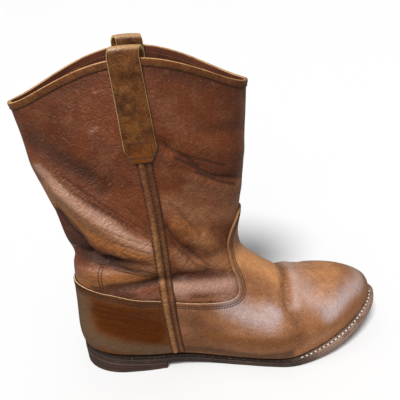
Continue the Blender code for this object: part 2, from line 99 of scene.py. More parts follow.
# folds of the worn leather: breadth, rise, side (1 outer, -1 inner, 0 both), line in the side view
folds = {
    "shaftRidge": (15, 4.0, 1, ((-2, 215), (62, 130))),
    "shaftHollow": (14, -3.0, 1, ((-7, 234), (41, 196))),
    "ankleFold": (12, -3.5, 1, ((8, 130), (54, 112))),
    "ankleBulge": (11, 2.0, 1, ((20, 106), (54, 97))),
    "frontHollow": (12, -2.0, 0, ((100, 106), (140, 106))),
    "innerFold": (12, -2.5, -1, ((5, 126), (60, 114))),
    "innerRidge": (15, 3.0, -1, ((10, 192), (70, 142))),
    "vampFlex": (13, -1.6, 0, ((200, 92), (208, 32))),
    "ridgeCrest": (8, 3.2, 1, ((8, 192), (15, 186), (31, 168), (46, 157), (61, 150), (76, 143))),
    "ridgeFoot": (9, 2.4, 1, ((30, 142), (46, 137), (62, 133), (76, 130))),
    "backCrease": (4.5, -3.6, 1, ((0, 166), (7, 155), (15, 146), (22, 135), (25, 128))),
    "ankleLine": (5, -4.8, 1, ((6, 127), (20, 125), (32, 122), (43, 125))),
    "ankleWrinkle": (4, -2.4, 1, ((43, 125), (58, 126), (73, 120))),
    "ankleSwell": (8, 3.4, 1, ((14, 112), (32, 112), (56, 114), (80, 116))),
    "lipHollow": (5, -3.4, 1, ((38, 97), (50, 98), (66, 100), (80, 102))),
    "seamHollow": (4, -1.4, 1, ((78, 104), (88, 101), (98, 100))),
    "frontLine": (4.2, -2.2, 0, ((96, 103), (108, 102), (126, 99), (140, 96))),
    "frontBulge": (9, 1.8, 0, ((95, 88), (116, 86), (138, 83))),
    "frontSwell": (7, 2.0, 0, ((104, 113), (125, 110), (142, 107))),
    "slantLine": (3, -1.4, 0, ((92, 154), (97, 144), (104, 132), (110, 125), (117, 117))),
    "slantLineTwo": (5, -1.1, 0, ((105, 131), (110, 129), (116, 126))),
    "slantRise": (6, 1.6, 0, ((98, 128), (103, 120), (110, 111))),
    "slantSwell": (8, 2.0, 0, ((106, 152), (116, 138), (130, 124))),
    "crossLine": (3, -1.4, 0, ((105, 128), (114, 114), (124, 103))),
    "shortLine": (3, -1.0, 0, ((107, 162), (117, 148), (121, 143))),
    "highLine": (4, -1.7, 0, ((94, 229), (107, 218), (119, 207), (139, 191), (158, 182))),
    "highSwell": (8, 1.9, 0, ((100, 212), (122, 193), (139, 181), (155, 172))),
    "highWrinkle": (3, -1.5, 0, ((103, 208), (122, 197), (136, 190))),
    "collarLine": (5, -1.2, 0, ((126, 231), (146, 229), (162, 227))),
    "collarSwell": (9, 1.8, 0, ((122, 222), (145, 213), (162, 206))),
    "innerCrease": (5, -2.2, -1, ((0, 172), (14, 156), (30, 136))),
    "innerLine": (5, -2.4, -1, ((8, 124), (30, 119), (60, 112), (80, 104))),
    "innerSwell": (8, 2.0, -1, ((14, 108), (40, 106), (78, 100))),
    "flexLine": (4, -1.3, 0, ((206, 92), (204, 76), (197, 70), (194, 64), (195, 54), (203, 44))),
    "flexSwell": (6, 1.8, 0, ((214, 76), (208, 62), (210, 48), (220, 36))),
    "ballRise": (5, 1.2, 0, ((176, 64), (182, 54), (188, 44))),
    "toeLine": (3.5, -0.8, 0, ((226, 60), (232, 52), (240, 44))),
}

# folds fade towards the middle of front and back, and those of the vamp cross the foot
foldFade = {"side": 0.35, "crossBelow": 8, "crossRun": 2}

# strokes of colour: kind, breadth, strength, side (1 mostly outer, 0 both), line in the side view;
# dark strokes are painted shade, pale strokes painted sheen (and pale scratches), bright strokes a
# lighter tone and in places a painted highlight, line strokes wrinkles darkened with painted shade
strokes = {
    "rimShade": (
        "dark", 6, 0.45, 0, ((-19, 255), (22, 273), (56, 283), (90, 286), (127, 279), (165, 262))),
    "frontRimShade": ("dark", 11, 0.45, 0, ((97, 282), (119, 277), (143, 267), (165, 256))),
    "highHollow": ("dark", 9, 0.3, 0, ((127, 237), (143, 235), (163, 230))),
    "highShade": ("dark", 8, 0.4, 0, ((111, 212), (131, 200), (155, 189))),
    "midShade": ("dark", 6, 0.35, 0, ((113, 187), (134, 178), (155, 172))),
    "backHollow": ("dark", 9, 0.75, 1, ((-11, 232), (3, 226), (17, 216), (30, 209))),
    "frontGold": ("bright", 13, 0.62, 0, ((95, 176), (112, 166), (133, 157), (154, 151))),
    # painted highlight along the front edge of the shaft
    "frontEdge": ("bright", 7, 0.5, 0, ((166, 255), (164, 215), (160, 178), (156, 158))),
    "highBright": ("bright", 9, 0.5, 0, ((116, 188), (138, 176), (156, 169))),
    "frontGoldLow": ("gold", 9, 0.5, 0, ((99, 159), (112, 146), (124, 135))),
    # pale strokes paint the sheen of the light on ridges, bulges, lip, vamp and toe; the scratch
    # strokes at the end are pale scratches
    "ridgePale": (
        "pale", 5.5, 1.0, 1,
        ((-5, 211), (8, 198), (16, 189), (24, 181), (44, 165), (59, 150), (76, 139))),
    "ridgeGold": (
        "gold", 11, 1.0, 1, ((-7, 188), (8, 173), (27, 158), (47, 147), (67, 137), (78, 131))),
    "foldShade": (
        "dark", 7, 1.0, 1, ((2, 167), (17, 143), (24, 127), (44, 121), (65, 119), (78, 117))),
    "hollowShade": ("dark", 6, 0.6, 1, ((9, 127), (18, 126), (28, 124))),
    "backShade": ("dark", 6, 0.7, 1, ((2, 157), (7, 138), (14, 122))),
    "bulgePale": ("pale", 6, 0.34, 1, ((10, 112), (22, 113), (40, 113), (65, 115), (80, 118))),
    "bulgeGold": ("gold", 11, 0.8, 1, ((10, 98), (30, 105), (52, 109), (80, 112))),
    "lipShade": ("dark", 5, 0.9, 1, ((26, 95), (49, 98), (72, 101), (84, 102))),
    "edgeShade": ("dark", 4, 0.7, 0, ((8, 88), (26, 87.5), (48, 84.5), (68, 80.5), (82, 78))),
    "overEdge": ("dark", 3, 0.8, 1, ((20, 96), (34, 94.5), (46, 92.5), (58, 90))),
    "lipPale": ("pale", 7, 0.35, 1, ((58, 90), (70, 88), (80, 87))),
    "lipPaleFront": ("pale", 6, 0.5, 1, ((92, 86), (100, 84))),
    "slantShade": ("dark", 4, 0.3, 0, ((97, 144), (105, 129), (110, 127))),
    "crossShade": ("dark", 5, 0.4, 0, ((105, 128), (114, 126), (122, 121))),
    "lowGold": ("gold", 6, 0.4, 0, ((117, 113), (132, 108), (144, 104))),
    "bandShade": ("dark", 5, 0.55, 0, ((86, 102), (107, 100), (130, 97), (145, 95))),
    "frontPale": ("pale", 8, 0.8, 0, ((90, 94), (116, 90), (144, 86))),
    "highPale": ("pale", 6, 0.22, 0, ((94, 205), (118, 195), (151, 178))),
    "shaftPale": ("pale", 14, 0.25, 0, ((91, 262), (102, 250), (110, 235))),
    "backPale": ("pale", 16, 0.2, 0, ((26, 251), (44, 243), (51, 210))),
    "backGleam": ("pale", 3, 0.6, 1, ((4, 128), (11, 129), (19, 131))),
    "instepGold": ("gold", 5, 0.4, 0, ((176, 94), (190, 82), (200, 76))),
    "flexPale": ("pale", 5, 0.35, 0, ((211, 72), (207, 66), (204, 58))),
    "sidePale": ("pale", 15, 0.62, 0, ((140, 68), (150, 61), (164, 54), (177, 50))),
    "sideShade": ("dark", 8, 0.7, 0, ((109, 53), (115, 38))),
    "throatGold": ("gold", 9, 0.35, 0, ((104, 61), (127, 56))),
    "lowGlow": ("gold", 6, 0.9, 0, ((117, 37), (140, 32), (162, 29), (185, 29), (200, 32))),
    "hemDirt": ("dirt", 5, 1.0, 0, ((94, 22), (116, 19), (144, 14), (171, 13), (194, 16))),
    "toeGold": ("gold", 8, 0.5, 0, ((236, 70), (250, 68), (262, 67), (276, 61))),
    "toePale": ("pale", 9, 0.6, 0, ((277, 54), (263, 53), (250, 49), (237, 43))),
    "toeGlow": ("gold", 6, 0.55, 0, ((204, 40), (216, 37), (231, 34), (252, 34), (270, 42))),
    "toeHem": ("dark", 5, 0.25, 0, ((204, 24), (236, 32), (269, 40), (290, 41))),
    "counterGlow": ("gold", 9, 1.0, 0, ((23, 72), (46, 67), (74, 51))),
    "counterGlowLow": ("gold", 9, 1.0, 0, ((27, 57), (48, 48), (71, 39))),
    "counterPale": ("pale", 5, 0.15, 0, ((22, 76), (42, 71), (66, 62))),
    "counterGlowHigh": ("gold", 7, 0.5, 0, ((26, 80), (46, 77), (76, 69))),
    "counterDirt": ("dirt", 9, 0.9, 0, ((8, 80), (7, 59), (8, 30))),
    "counterHem": ("dirt", 8, 0.95, 0, ((15, 40), (42, 31), (79, 22))),
    "lowShade": ("dark", 12, 1.0, 0, ((100, 29), (140, 26), (180, 26), (202, 30))),
    "throatShade": ("dark", 12, 0.6, 0, ((98, 56), (112, 50), (126, 42))),
    "frontTan": ("bright", 10, 0.55, 0, ((116, 139), (130, 127), (138, 106))),
    "frontTanLow": ("bright", 8, 0.6, 0, ((99, 126), (103, 116), (122, 110), (138, 104))),
    "frontWarm": ("gold", 12, 0.4, 0, ((112, 148), (132, 128), (140, 104))),
    "triangleWarm": ("bright", 7, 0.4, 0, ((98, 130), (103, 119), (112, 110))),
    # painted highlight on the instep
    "instepBright": ("bright", 10, 0.9, 0, ((158, 106), (172, 93), (190, 79))),
    "sideSpot": ("pale", 4, 0.4, 0, ((178, 58), (186, 54))),
    "patchPale": ("pale", 9, 0.4, 0, ((216, 61), (223, 56), (234, 49))),
    "toeVeil": ("pale", 19, 0.22, 0, ((216, 64), (230, 58), (246, 53))),
    # painted highlight along the crest of the ridge
    "ridgeBright": (
        "bright", 8, 1.0, 1, ((2, 196), (16, 180), (34, 164), (52, 152), (70, 141), (82, 134))),
    "toeBright": ("bright", 8, 0.45, 0, ((214, 72), (232, 69), (252, 66))),
    "sideBright": ("bright", 9, 0.4, 0, ((206, 62), (222, 58), (240, 52))),
    "lowBright": ("bright", 4, 0.65, 0, ((94, 81), (118, 77), (138, 76))),
    "highDim": ("dark", 22, 0.2, 0, ((110, 262), (140, 245), (150, 215))),
    "toeEdge": ("gold", 6, 0.7, 0, ((287, 53), (291, 42))),
    "toeShade": ("dark", 6, 0.18, 0, ((233, 42), (243, 38), (256, 38))),
    "toeDirt": ("dirt", 5, 0.3, 0, ((200, 22), (211, 26), (228, 29), (245, 34))),
    # line strokes bump wrinkles and darken them with painted shade
    "slantWrinkle": ("line", 1.4, 0.75, 0, ((91, 156), (96, 145), (104, 132))),
    "slantPair": ("line", 1.4, 0.7, 0, ((92, 147), (96, 138), (103, 126))),
    "knotWrinkle": ("line", 2.4, 0.3, 0, ((105, 132), (110, 130), (116, 127))),
    "fanOne": ("line", 1.3, 0.65, 0, ((107, 132), (116, 119), (126, 107))),
    "fanTwo": ("line", 1.3, 0.55, 0, ((105, 126), (111, 116), (118, 107))),
    "fanThree": ("line", 1.3, 0.5, 0, ((108, 121), (104, 115), (99, 109))),
    "pairOne": ("line", 1.2, 0.5, 0, ((96, 176), (108, 159), (119, 142))),
    "pairTwo": ("line", 1.2, 0.45, 0, ((100, 174), (111, 156), (121, 143))),
    "backWrinkle": ("line", 1.5, 0.8, 1, ((2, 176), (7, 164), (12, 150), (16, 143))),
    "backPair": ("line", 1.5, 0.8, 1, ((5, 170), (14, 160), (22, 147), (25, 136))),
    "ridgeOne": ("line", 1.2, 0.55, 1, ((6, 206), (20, 192), (34, 180), (50, 168))),
    "ridgeTwo": ("line", 1.2, 0.6, 1, ((14, 205), (28, 192), (44, 178), (62, 164), (76, 152))),
    "ridgeThree": ("line", 1.2, 0.55, 1, ((32, 183), (46, 173), (62, 160), (79, 145))),
    "ridgeFour": ("line", 1.2, 0.55, 1, ((42, 160), (56, 152), (70, 145), (80, 139))),
    "ridgeFive": ("line", 1.2, 0.55, 1, ((48, 147), (62, 141), (76, 134))),
    "ridgeSix": ("line", 1.2, 0.55, 1, ((60, 177), (70, 166), (80, 151))),
    "ridgeSeven": ("line", 1.2, 0.5, 1, ((52, 138), (60, 131), (72, 126))),
    "highOne": ("line", 1.5, 0.85, 0, ((96, 227), (101, 222), (112, 214), (122, 203))),
    "highTwo": ("line", 1.5, 0.95, 0, ((104, 215), (119, 204), (134, 193), (155, 185))),
    "highThree": ("line", 1.5, 0.85, 0, ((119, 200), (134, 190), (153, 179))),
    "highFour": ("line", 1.5, 0.7, 0, ((108, 216), (126, 209), (144, 199))),
    "bulgeOne": ("line", 1.4, 0.75, 1, ((36, 121), (52, 118), (70, 115), (80, 110))),
    "bulgeTwo": ("line", 1.3, 0.7, 1, ((42, 116), (58, 112), (76, 107))),
    "bulgeThree": ("line", 1.3, 0.6, 1, ((40, 119), (56, 116), (72, 111), (80, 107))),
    "foldDeep": ("line", 4.5, 0.72, 1, ((14, 131), (22, 130), (30, 126), (40, 124), (58, 124))),
    "flexOne": ("line", 1.6, 0.55, 0, ((206, 78), (203, 74), (196, 70), (194, 64), (195, 54))),
    "flexTwo": ("line", 1.3, 0.6, 0, ((198, 53), (202, 47), (205, 39))),
    "flexThree": ("line", 1.3, 0.6, 0, ((203, 53), (207, 46), (211, 39))),
    "flexFour": ("line", 1.3, 0.5, 0, ((193, 51), (197, 45), (199, 39))),
    "instepOne": ("line", 1.3, 0.4, 0, ((155, 79), (169, 74), (187, 71))),
    "instepTwo": ("line", 1.3, 0.4, 0, ((157, 74), (173, 70), (191, 67))),
    "instepThree": ("line", 1.3, 0.3, 0, ((149, 85), (162, 81), (174, 78))),
    "toeOne": ("line", 1.2, 0.4, 0, ((222, 57), (226, 51), (229, 46))),
    "toeTwo": ("line", 1.2, 0.4, 0, ((231, 56), (234, 50), (236, 45))),
    "counterOne": ("line", 1.3, 0.6, 0, ((21, 79), (38, 76), (55, 72), (65, 65))),
    "counterTwo": ("line", 1.3, 0.6, 0, ((19, 73), (34, 71), (50, 68), (64, 61))),
    "counterThree": ("line", 1.3, 0.5, 0, ((21, 65), (36, 64), (49, 60))),
    "counterFour": ("line", 1.3, 0.4, 0, ((18, 57), (35, 56), (55, 48), (70, 41))),
    "scratchOne": ("pale", 1.2, 0.5, 1, ((40, 241), (43, 243), (46, 245))),
    "scratchTwo": ("pale", 1.2, 0.3, 1, ((18, 238), (21, 234), (24, 231))),
    "scratchThree": ("pale", 1.2, 0.5, 1, ((47, 271), (52, 273), (55, 273))),
}
innerShare = 0.5  # how much of the outer side's strokes, painted shade and sheen among them, the inner side has
kinds = ("dark", "gold", "bright", "pale", "dirt", "line")

# cut edge of counter and vamp from the middle of the back to the top of the tongue, and side seam
cutEdge = (
    (-2, 95.0), (14, 93.6), (28, 91.6), (44.5, 89.0), (61, 84.8), (75, 82.2), (88.2, 79.6),
    (100, 76.6), (118, 73.2), (135, 71.8), (145, 72.8), (151, 78.0), (150, 88.0),
    (146.8, 98.0), (144.4, 113.0), (144.0, 124.0), (146.4, 132.0), (150.2, 139.0), (154.6, 146.0),
)
tongueTop = 151.5
seamLine = ((91.1, 16.0), (87.6, 52.0), (85.7, 84.0), (84.3, 127.0), (82.8, 162.0), (78.2, 217.0))
seamCutZ = 80.1


def smooth(knots, values, at):  # cubic curve through a row of values
    knots = np.asarray(knots, float)
    values = np.asarray(values, float)
    slopes = np.gradient(values, knots)
    at = np.clip(at, knots[0], knots[-1])
    i = np.clip(np.searchsorted(knots, at, side="right") - 1, 0, len(knots) - 2)
    span = knots[i + 1] - knots[i]
    t = (at - knots[i]) / span
    rise = t * t * (3 - 2 * t)
    easeIn = (t**3 - 2 * t**2 + t) * span * slopes[i]
    easeOut = (t**3 - t**2) * span * slopes[i + 1]
    return values[i] * (1 - rise) + values[i + 1] * rise + easeIn + easeOut


def ease(t):
    t = np.clip(t, 0, 1)
    return t * t * (3 - 2 * t)


def bell(distance, breadth):
    return np.exp(-((distance / breadth) ** 2))


planTable = {name: np.array(rows, float) for name, rows in zip(planColumns, zip(*planRows))}
levelTable = {
    name: np.array(rows, float) for name, rows in zip(levelColumns, zip(*levelRows.values()))
}


def plan(x, name):
    return smooth(planTable["x"], planTable[name], x)


def levelValue(name, level):
    return smooth(np.arange(top + 1), levelTable[name], level)


def soleLine(x):  # height of the outsole's underside
    rise = sole["archFront"] - sole["archFull"]
    arch = sole["archRise"] * ease((sole["archFront"] - x) / rise)
    pitch = sole["heelPitch"] * np.clip(1 - x / sole["pitchFront"], 0, None) ** sole["pitchPower"]
    reach = sole["length"] - sole["springBack"]
    spring = np.clip((x - sole["springBack"]) / reach, 0, None) ** sole["springPower"]
    return arch + pitch + sole["toeSpring"] * spring


def featherLine(x):  # height at which the upper stands on the welt
    return soleLine(x) + sole["outsole"] + sole["gap"] + sole["welt"] + sole["stand"]


def swing(x):  # sideways curve of the foot's middle line
    reach = sole["length"] - sole["swingBack"]
    return sole["toeSwing"] * np.clip((x - sole["swingBack"]) / reach, 0, 1) ** sole["swingPower"]


def rounded(distance, length, power):
    t = np.clip(1 - distance / length, 0, 1)
    return np.sqrt(np.clip(1 - t**power, 0, None))


def outline(theta):  # sole outline from the toe (0) by the outer side to the heel (pi)
    x = sole["length"] * (1 + np.cos(theta)) / 2
    outer = np.sin(theta) >= 0
    half = np.where(outer, plan(x, "lateral"), plan(x, "medial"))
    half = half * rounded(sole["length"] - x, sole["toeRound"], sole["toePower"])
    half = half * rounded(x, sole["heelRound"], sole["heelPower"])
    return x, swing(x) - np.where(outer, half, -half)


sideColumns = ("backX", "frontX", "backZ", "frontZ", "sag", "crown")


def sideView(c, backX, frontX, backZ, frontZ, sag, crown):
    # c runs from the back (0) to the front (1)
    lowBackX, lowBackZ, lowFrontX, lowFrontZ = levelRows["feather"][:4]
    bend = featherLine(lowBackX + c * (lowFrontX - lowBackX)) - (lowBackZ * (1 - c) + lowFrontZ * c)
    arched = crown * (4 * c * (1 - c)) ** leather["crownPower"]
    return backX + c * (frontX - backX), backZ * (1 - c) + frontZ * c + sag * bend + arched


def distanceTo(line, x, z):  # from places in the side view to a line of knots
    nearest = np.full_like(x, 1e9)
    for (x1, z1), (x2, z2) in zip(line, line[1:]):
        span = (x2 - x1) ** 2 + (z2 - z1) ** 2
        along = np.clip(((x - x1) * (x2 - x1) + (z - z1) * (z2 - z1)) / span, 0, 1)
        offX, offZ = x - x1 - along * (x2 - x1), z - z1 - along * (z2 - z1)
        nearest = np.minimum(nearest, np.hypot(offX, offZ))
    return nearest


def foldRise(x, z, outer, sideFade, topFade):
    total = np.zeros_like(x)
    for breadth, rise, side, line in folds.values():
        here = rise * bell(distanceTo(line, x, z), breadth)
        total = total + here * (topFade if side == 0 else sideFade * (side == outer))
    return total


def bare(theta, level):  # outer face of the upper without its folds
    x, z = sideView((1 + np.cos(theta)) / 2, *(levelValue(name, level) for name in sideColumns))
    outer = np.sin(theta) >= 0
    lateral = plan(x, "lateral") - plan(x, "lateralLedge")
    medial = plan(x, "medial") - plan(x, "medialLedge")
    share = levelValue("foot", level)
    half = share * np.where(outer, lateral, medial) + (1 - share) * levelValue("half", level)
    power = levelValue("point", level)
    nose = rounded(levelValue("frontX", level) - x, levelValue("nose", level), power)
    tail = rounded(x - levelValue("backX", level), levelValue("tail", level), power)
    half = half * levelValue("breadth", level) * nose * tail
    return np.stack([x, swing(x) - np.where(outer, half, -half), z], -1)


def unit(vectors):
    return vectors / np.maximum(np.linalg.norm(vectors, axis=-1, keepdims=True), 1e-9)


def outward(theta, level):
    step = 0.02
    around = bare(theta + step, level) - bare(theta - step, level)
    up = bare(theta, np.minimum(level + step, top)) - bare(theta, np.maximum(level - step, 0))
    return unit(np.cross(up, around))


def foldAt(theta, level):
    points = bare(theta, level)
    side = np.sin(theta)
    fade = ease(np.abs(side) / foldFade["side"])
    crossing = np.maximum(fade, ease((foldFade["crossBelow"] - level) / foldFade["crossRun"]))
    return foldRise(points[..., 0], points[..., 2], np.where(side >= 0, 1, -1), fade, crossing)


def painted(kind, theta, level):  # strength of one kind of colour stroke
    points = bare(theta, level)
    outerSide = np.sin(theta) >= 0
    bareShare = np.ones(points.shape[:-1])
    for use, breadth, strength, side, line in strokes.values():
        if use == kind:
            here = strength * bell(distanceTo(line, points[..., 0], points[..., 2]), breadth)
            # strokes of the outer side, painted shade and sheen among them, are weaker on the inner
            # side
            worn = np.where((side == 0) | outerSide, 1.0, innerShare)
            bareShare = bareShare * (1 - worn * here)
    return 1 - bareShare


def upperFace(theta, level, out=0.0):  # outer face with its folds, moved outwards
    theta, level, out = np.broadcast_arrays(theta, level, out)
    return bare(theta, level) + outward(theta, level) * (out + foldAt(theta, level))[..., None]


fineLevels = np.linspace(0, top, 801)
fineColumns = [levelValue(name, fineLevels) for name in sideColumns]


def find(x, z):  # angle and level of places in the side view
    x, z = np.atleast_1d(x), np.atleast_1d(z)
    back, front = fineColumns[:2]
    c = np.clip((x[:, None] - back) / (front - back), 0, 1)
    heights = np.maximum.accumulate(sideView(c, *fineColumns)[1], axis=1)
    level = np.array([np.interp(pz, row, fineLevels) for pz, row in zip(z, heights)])
    place = np.array([np.interp(at, fineLevels, row) for at, row in zip(level, c)])
    return np.arccos(2 * place - 1), level


def resample(line, count):  # evenly spaced smooth points on a line of knots
    line = np.asarray(line, float)
    length = np.concatenate([[0], np.cumsum(np.linalg.norm(np.diff(line, axis=0), axis=1))])
    at = np.linspace(0, length[-1], count)
    return np.stack([smooth(length, column, at) for column in line.T], -1)


seamHeights = np.linspace(seamLine[0][1], seamCutZ, 40)
seamX = smooth([z for x, z in seamLine], [x for x, z in seamLine], seamHeights)
seamAngles, seamLevels = find(seamX, seamHeights)


def seamAngle(level):
    return np.interp(level, seamLevels, seamAngles)


def drift(theta, level, move):  # angle and level after a small move along the surface
    step = 0.01
    around = (upperFace(theta + step, level) - upperFace(theta - step, level)) / (2 * step)
    up = (upperFace(theta, level + step) - upperFace(theta, level - step)) / (2 * step)
    aa, bb, ab = (around**2).sum(-1), (up**2).sum(-1), (around * up).sum(-1)
    am, bm = (around * move).sum(-1), (up * move).sum(-1)
    scale = np.maximum(aa * bb - ab**2, 1e-9)
    return theta + (bb * am - ab * bm) / scale, level + (aa * bm - ab * am) / scale


def offsetEdge(theta, level, distance):  # cut edge moved away from the shaft, along the surface
    longest = 1.5  # of a single move
    steps = max(1, int(abs(distance) / longest))
    for again in range(steps):
        points = upperFace(theta, level)
        along = unit(np.gradient(points, axis=0))
        down = np.cross(along, outward(theta, level))
        theta, level = drift(theta, level, down * distance / steps)
    return theta, level


vampLevel = 6  # the tongue ends above this level
levelScale = 0.1  # weight of a level against an angle along the edge
cutKnots = np.stack(find(*np.array(cutEdge).T), -1)
tongueLevel = np.interp(tongueTop, levelTable["frontZ"][vampLevel:], np.arange(vampLevel, top + 1))
cutKnots = np.concatenate([cutKnots * [1, levelScale], [[0, tongueLevel * levelScale]]])
cutTheta, cutLevel = resample(cutKnots, 300).T
cutLevel = cutLevel / levelScale
cutLength = np.linspace(0, 1, len(cutTheta))
seamPlace = np.interp(-seamAngles[-1], -cutTheta, cutLength)


def cutPart(start, end, count):  # angle and level along a part of the cut edge
    at = np.linspace(start, end, count)
    return np.interp(at, cutLength, cutTheta), np.interp(at, cutLength, cutLevel)


print("shape functions ready")


# a shader socket: arithmetic on it adds Math nodes
class Wire:
    def __init__(self, finish, socket):
        self.finish = finish
        self.socket = socket

    def maths(self, operation, first, second=0.0):
        return self.finish.node("Math", {"operation": operation}, {0: first, 1: second})

    def __add__(self, other):
        return self.maths("ADD", self, other)

    def __radd__(self, other):
        return self.maths("ADD", other, self)

    def __sub__(self, other):
        return self.maths("SUBTRACT", self, other)

    def __rsub__(self, other):
        return self.maths("SUBTRACT", other, self)

    def __mul__(self, other):
        return self.maths("MULTIPLY", self, other)

    def __rmul__(self, other):
        return self.maths("MULTIPLY", other, self)

    def __neg__(self):
        return self.maths("MULTIPLY", self, -1.0)

    def size(self):
        return self.maths("ABSOLUTE", self)


def tone(red, green, blue):  # colour from screen values
    def linear(v):
        v = v / 255
        return v / 12.92 if v <= 0.04045 else ((v + 0.055) / 1.055) ** 2.4

    return (linear(red), linear(green), linear(blue), 1.0)


class Finish:
    def __init__(self, name, constants):
        self.material = bpy.data.materials.new(name)
        self.material.use_nodes = True
        self.tree = self.material.node_tree
        self.shader = self.tree.nodes["Principled BSDF"]
        for key, value in constants.items():
            self.shader.inputs[key].default_value = value

    def node(self, kind, settings=None, values=None, out=0):
        made = self.tree.nodes.new("ShaderNode" + kind)
        for key, value in (settings or {}).items():
            setattr(made, key, value)
        for key, value in (values or {}).items():
            self.join(made.inputs[key], value)
        return Wire(self, made.outputs[out])

    def join(self, socket, value):
        if isinstance(value, Wire):
            self.tree.links.new(socket, value.socket)
        else:
            socket.default_value = value

    def set(self, **values):
        names = {
            "colour": "Base Color", "rough": "Roughness", "coat": "Coat Weight", "normal": "Normal",
        }
        for key, value in values.items():
            self.join(self.shader.inputs[names[key]], value)

    def place(self):
        return self.node("TexCoord", out="Object")

    def axes(self, place):  # x, y and z in mm of the boot's own frame
        split = self.node("SeparateXYZ", None, {0: place})
        outputs = split.socket.node.outputs
        return [Wire(self, o) * (1 / mm) + s for o, s in zip(outputs, shift.tolist())]

    def attribute(self, name):
        return self.node("Attribute", {"attribute_name": name}, out="Fac")

    def stretch(self, place, turns, scale):  # draws a pattern out along turned axes
        values = {"Vector": place, "Rotation": turns, "Scale": scale}
        return self.node("Mapping", {"vector_type": "TEXTURE"}, values)

    def noise(self, place, scale, detail, rough, warp=0.0):
        values = {
            "Vector": place, "Scale": scale, "Detail": detail, "Roughness": rough, "Distortion": warp,
        }
        return self.node("TexNoise", None, values)

    def step(self, value, low, high):  # soft step from 0 to 1
        settings = {"interpolation_type": "SMOOTHSTEP"}
        return self.node("MapRange", settings, {"Value": value, "From Min": low, "From Max": high})

    def mix(self, factor, first, second):
        return self.node("Mix", {"data_type": "RGBA"}, {0: factor, 6: first, 7: second}, 2)

    def bump(self, height, strength, distance, normal=None):
        values = {"Height": height, "Strength": strength, "Distance": distance * mm}
        if normal is not None:
            values["Normal"] = normal
        return self.node("Bump", None, values)


# what all the leathers share
grain = {
    "warpScale": 70.0, "warp": (0.006, 0.006, 0.006), "acrossTurn": 1.3, "fine": 4, "coarse": 0.6,
    "wrinkleEdge": 0.11, "creaseEdge": 0.16, "pebbleSmooth": 0.3, "calmShare": 0.3,
    "hollowShare": 0.8, "paleCover": 0.6, "paleGloss": 0.2,
    "scratchTurn": (0.3, 0.9, 0.2), "scratchShape": (0.025, 0.0025, 0.016), "scratchScale": 3.0,
}

# paint from first to last: kind, how blotchy, soft step from and to, colour; pale lays a painted
# sheen, dark painted shade, bright a lighter tone that is in places a painted highlight
paintSteps = (
    ("gold", 0.5, 0.08, 0.9, "gold"),
    ("bright", 0.5, 0.08, 0.9, "bright"),
    ("dirt", 0.6, 0.1, 0.9, "dirt"),
    ("pale", 0.2, 0.1, 1.0, "pale"),
    ("dark", 0.4, 0.1, 1.0, "deep"),
)


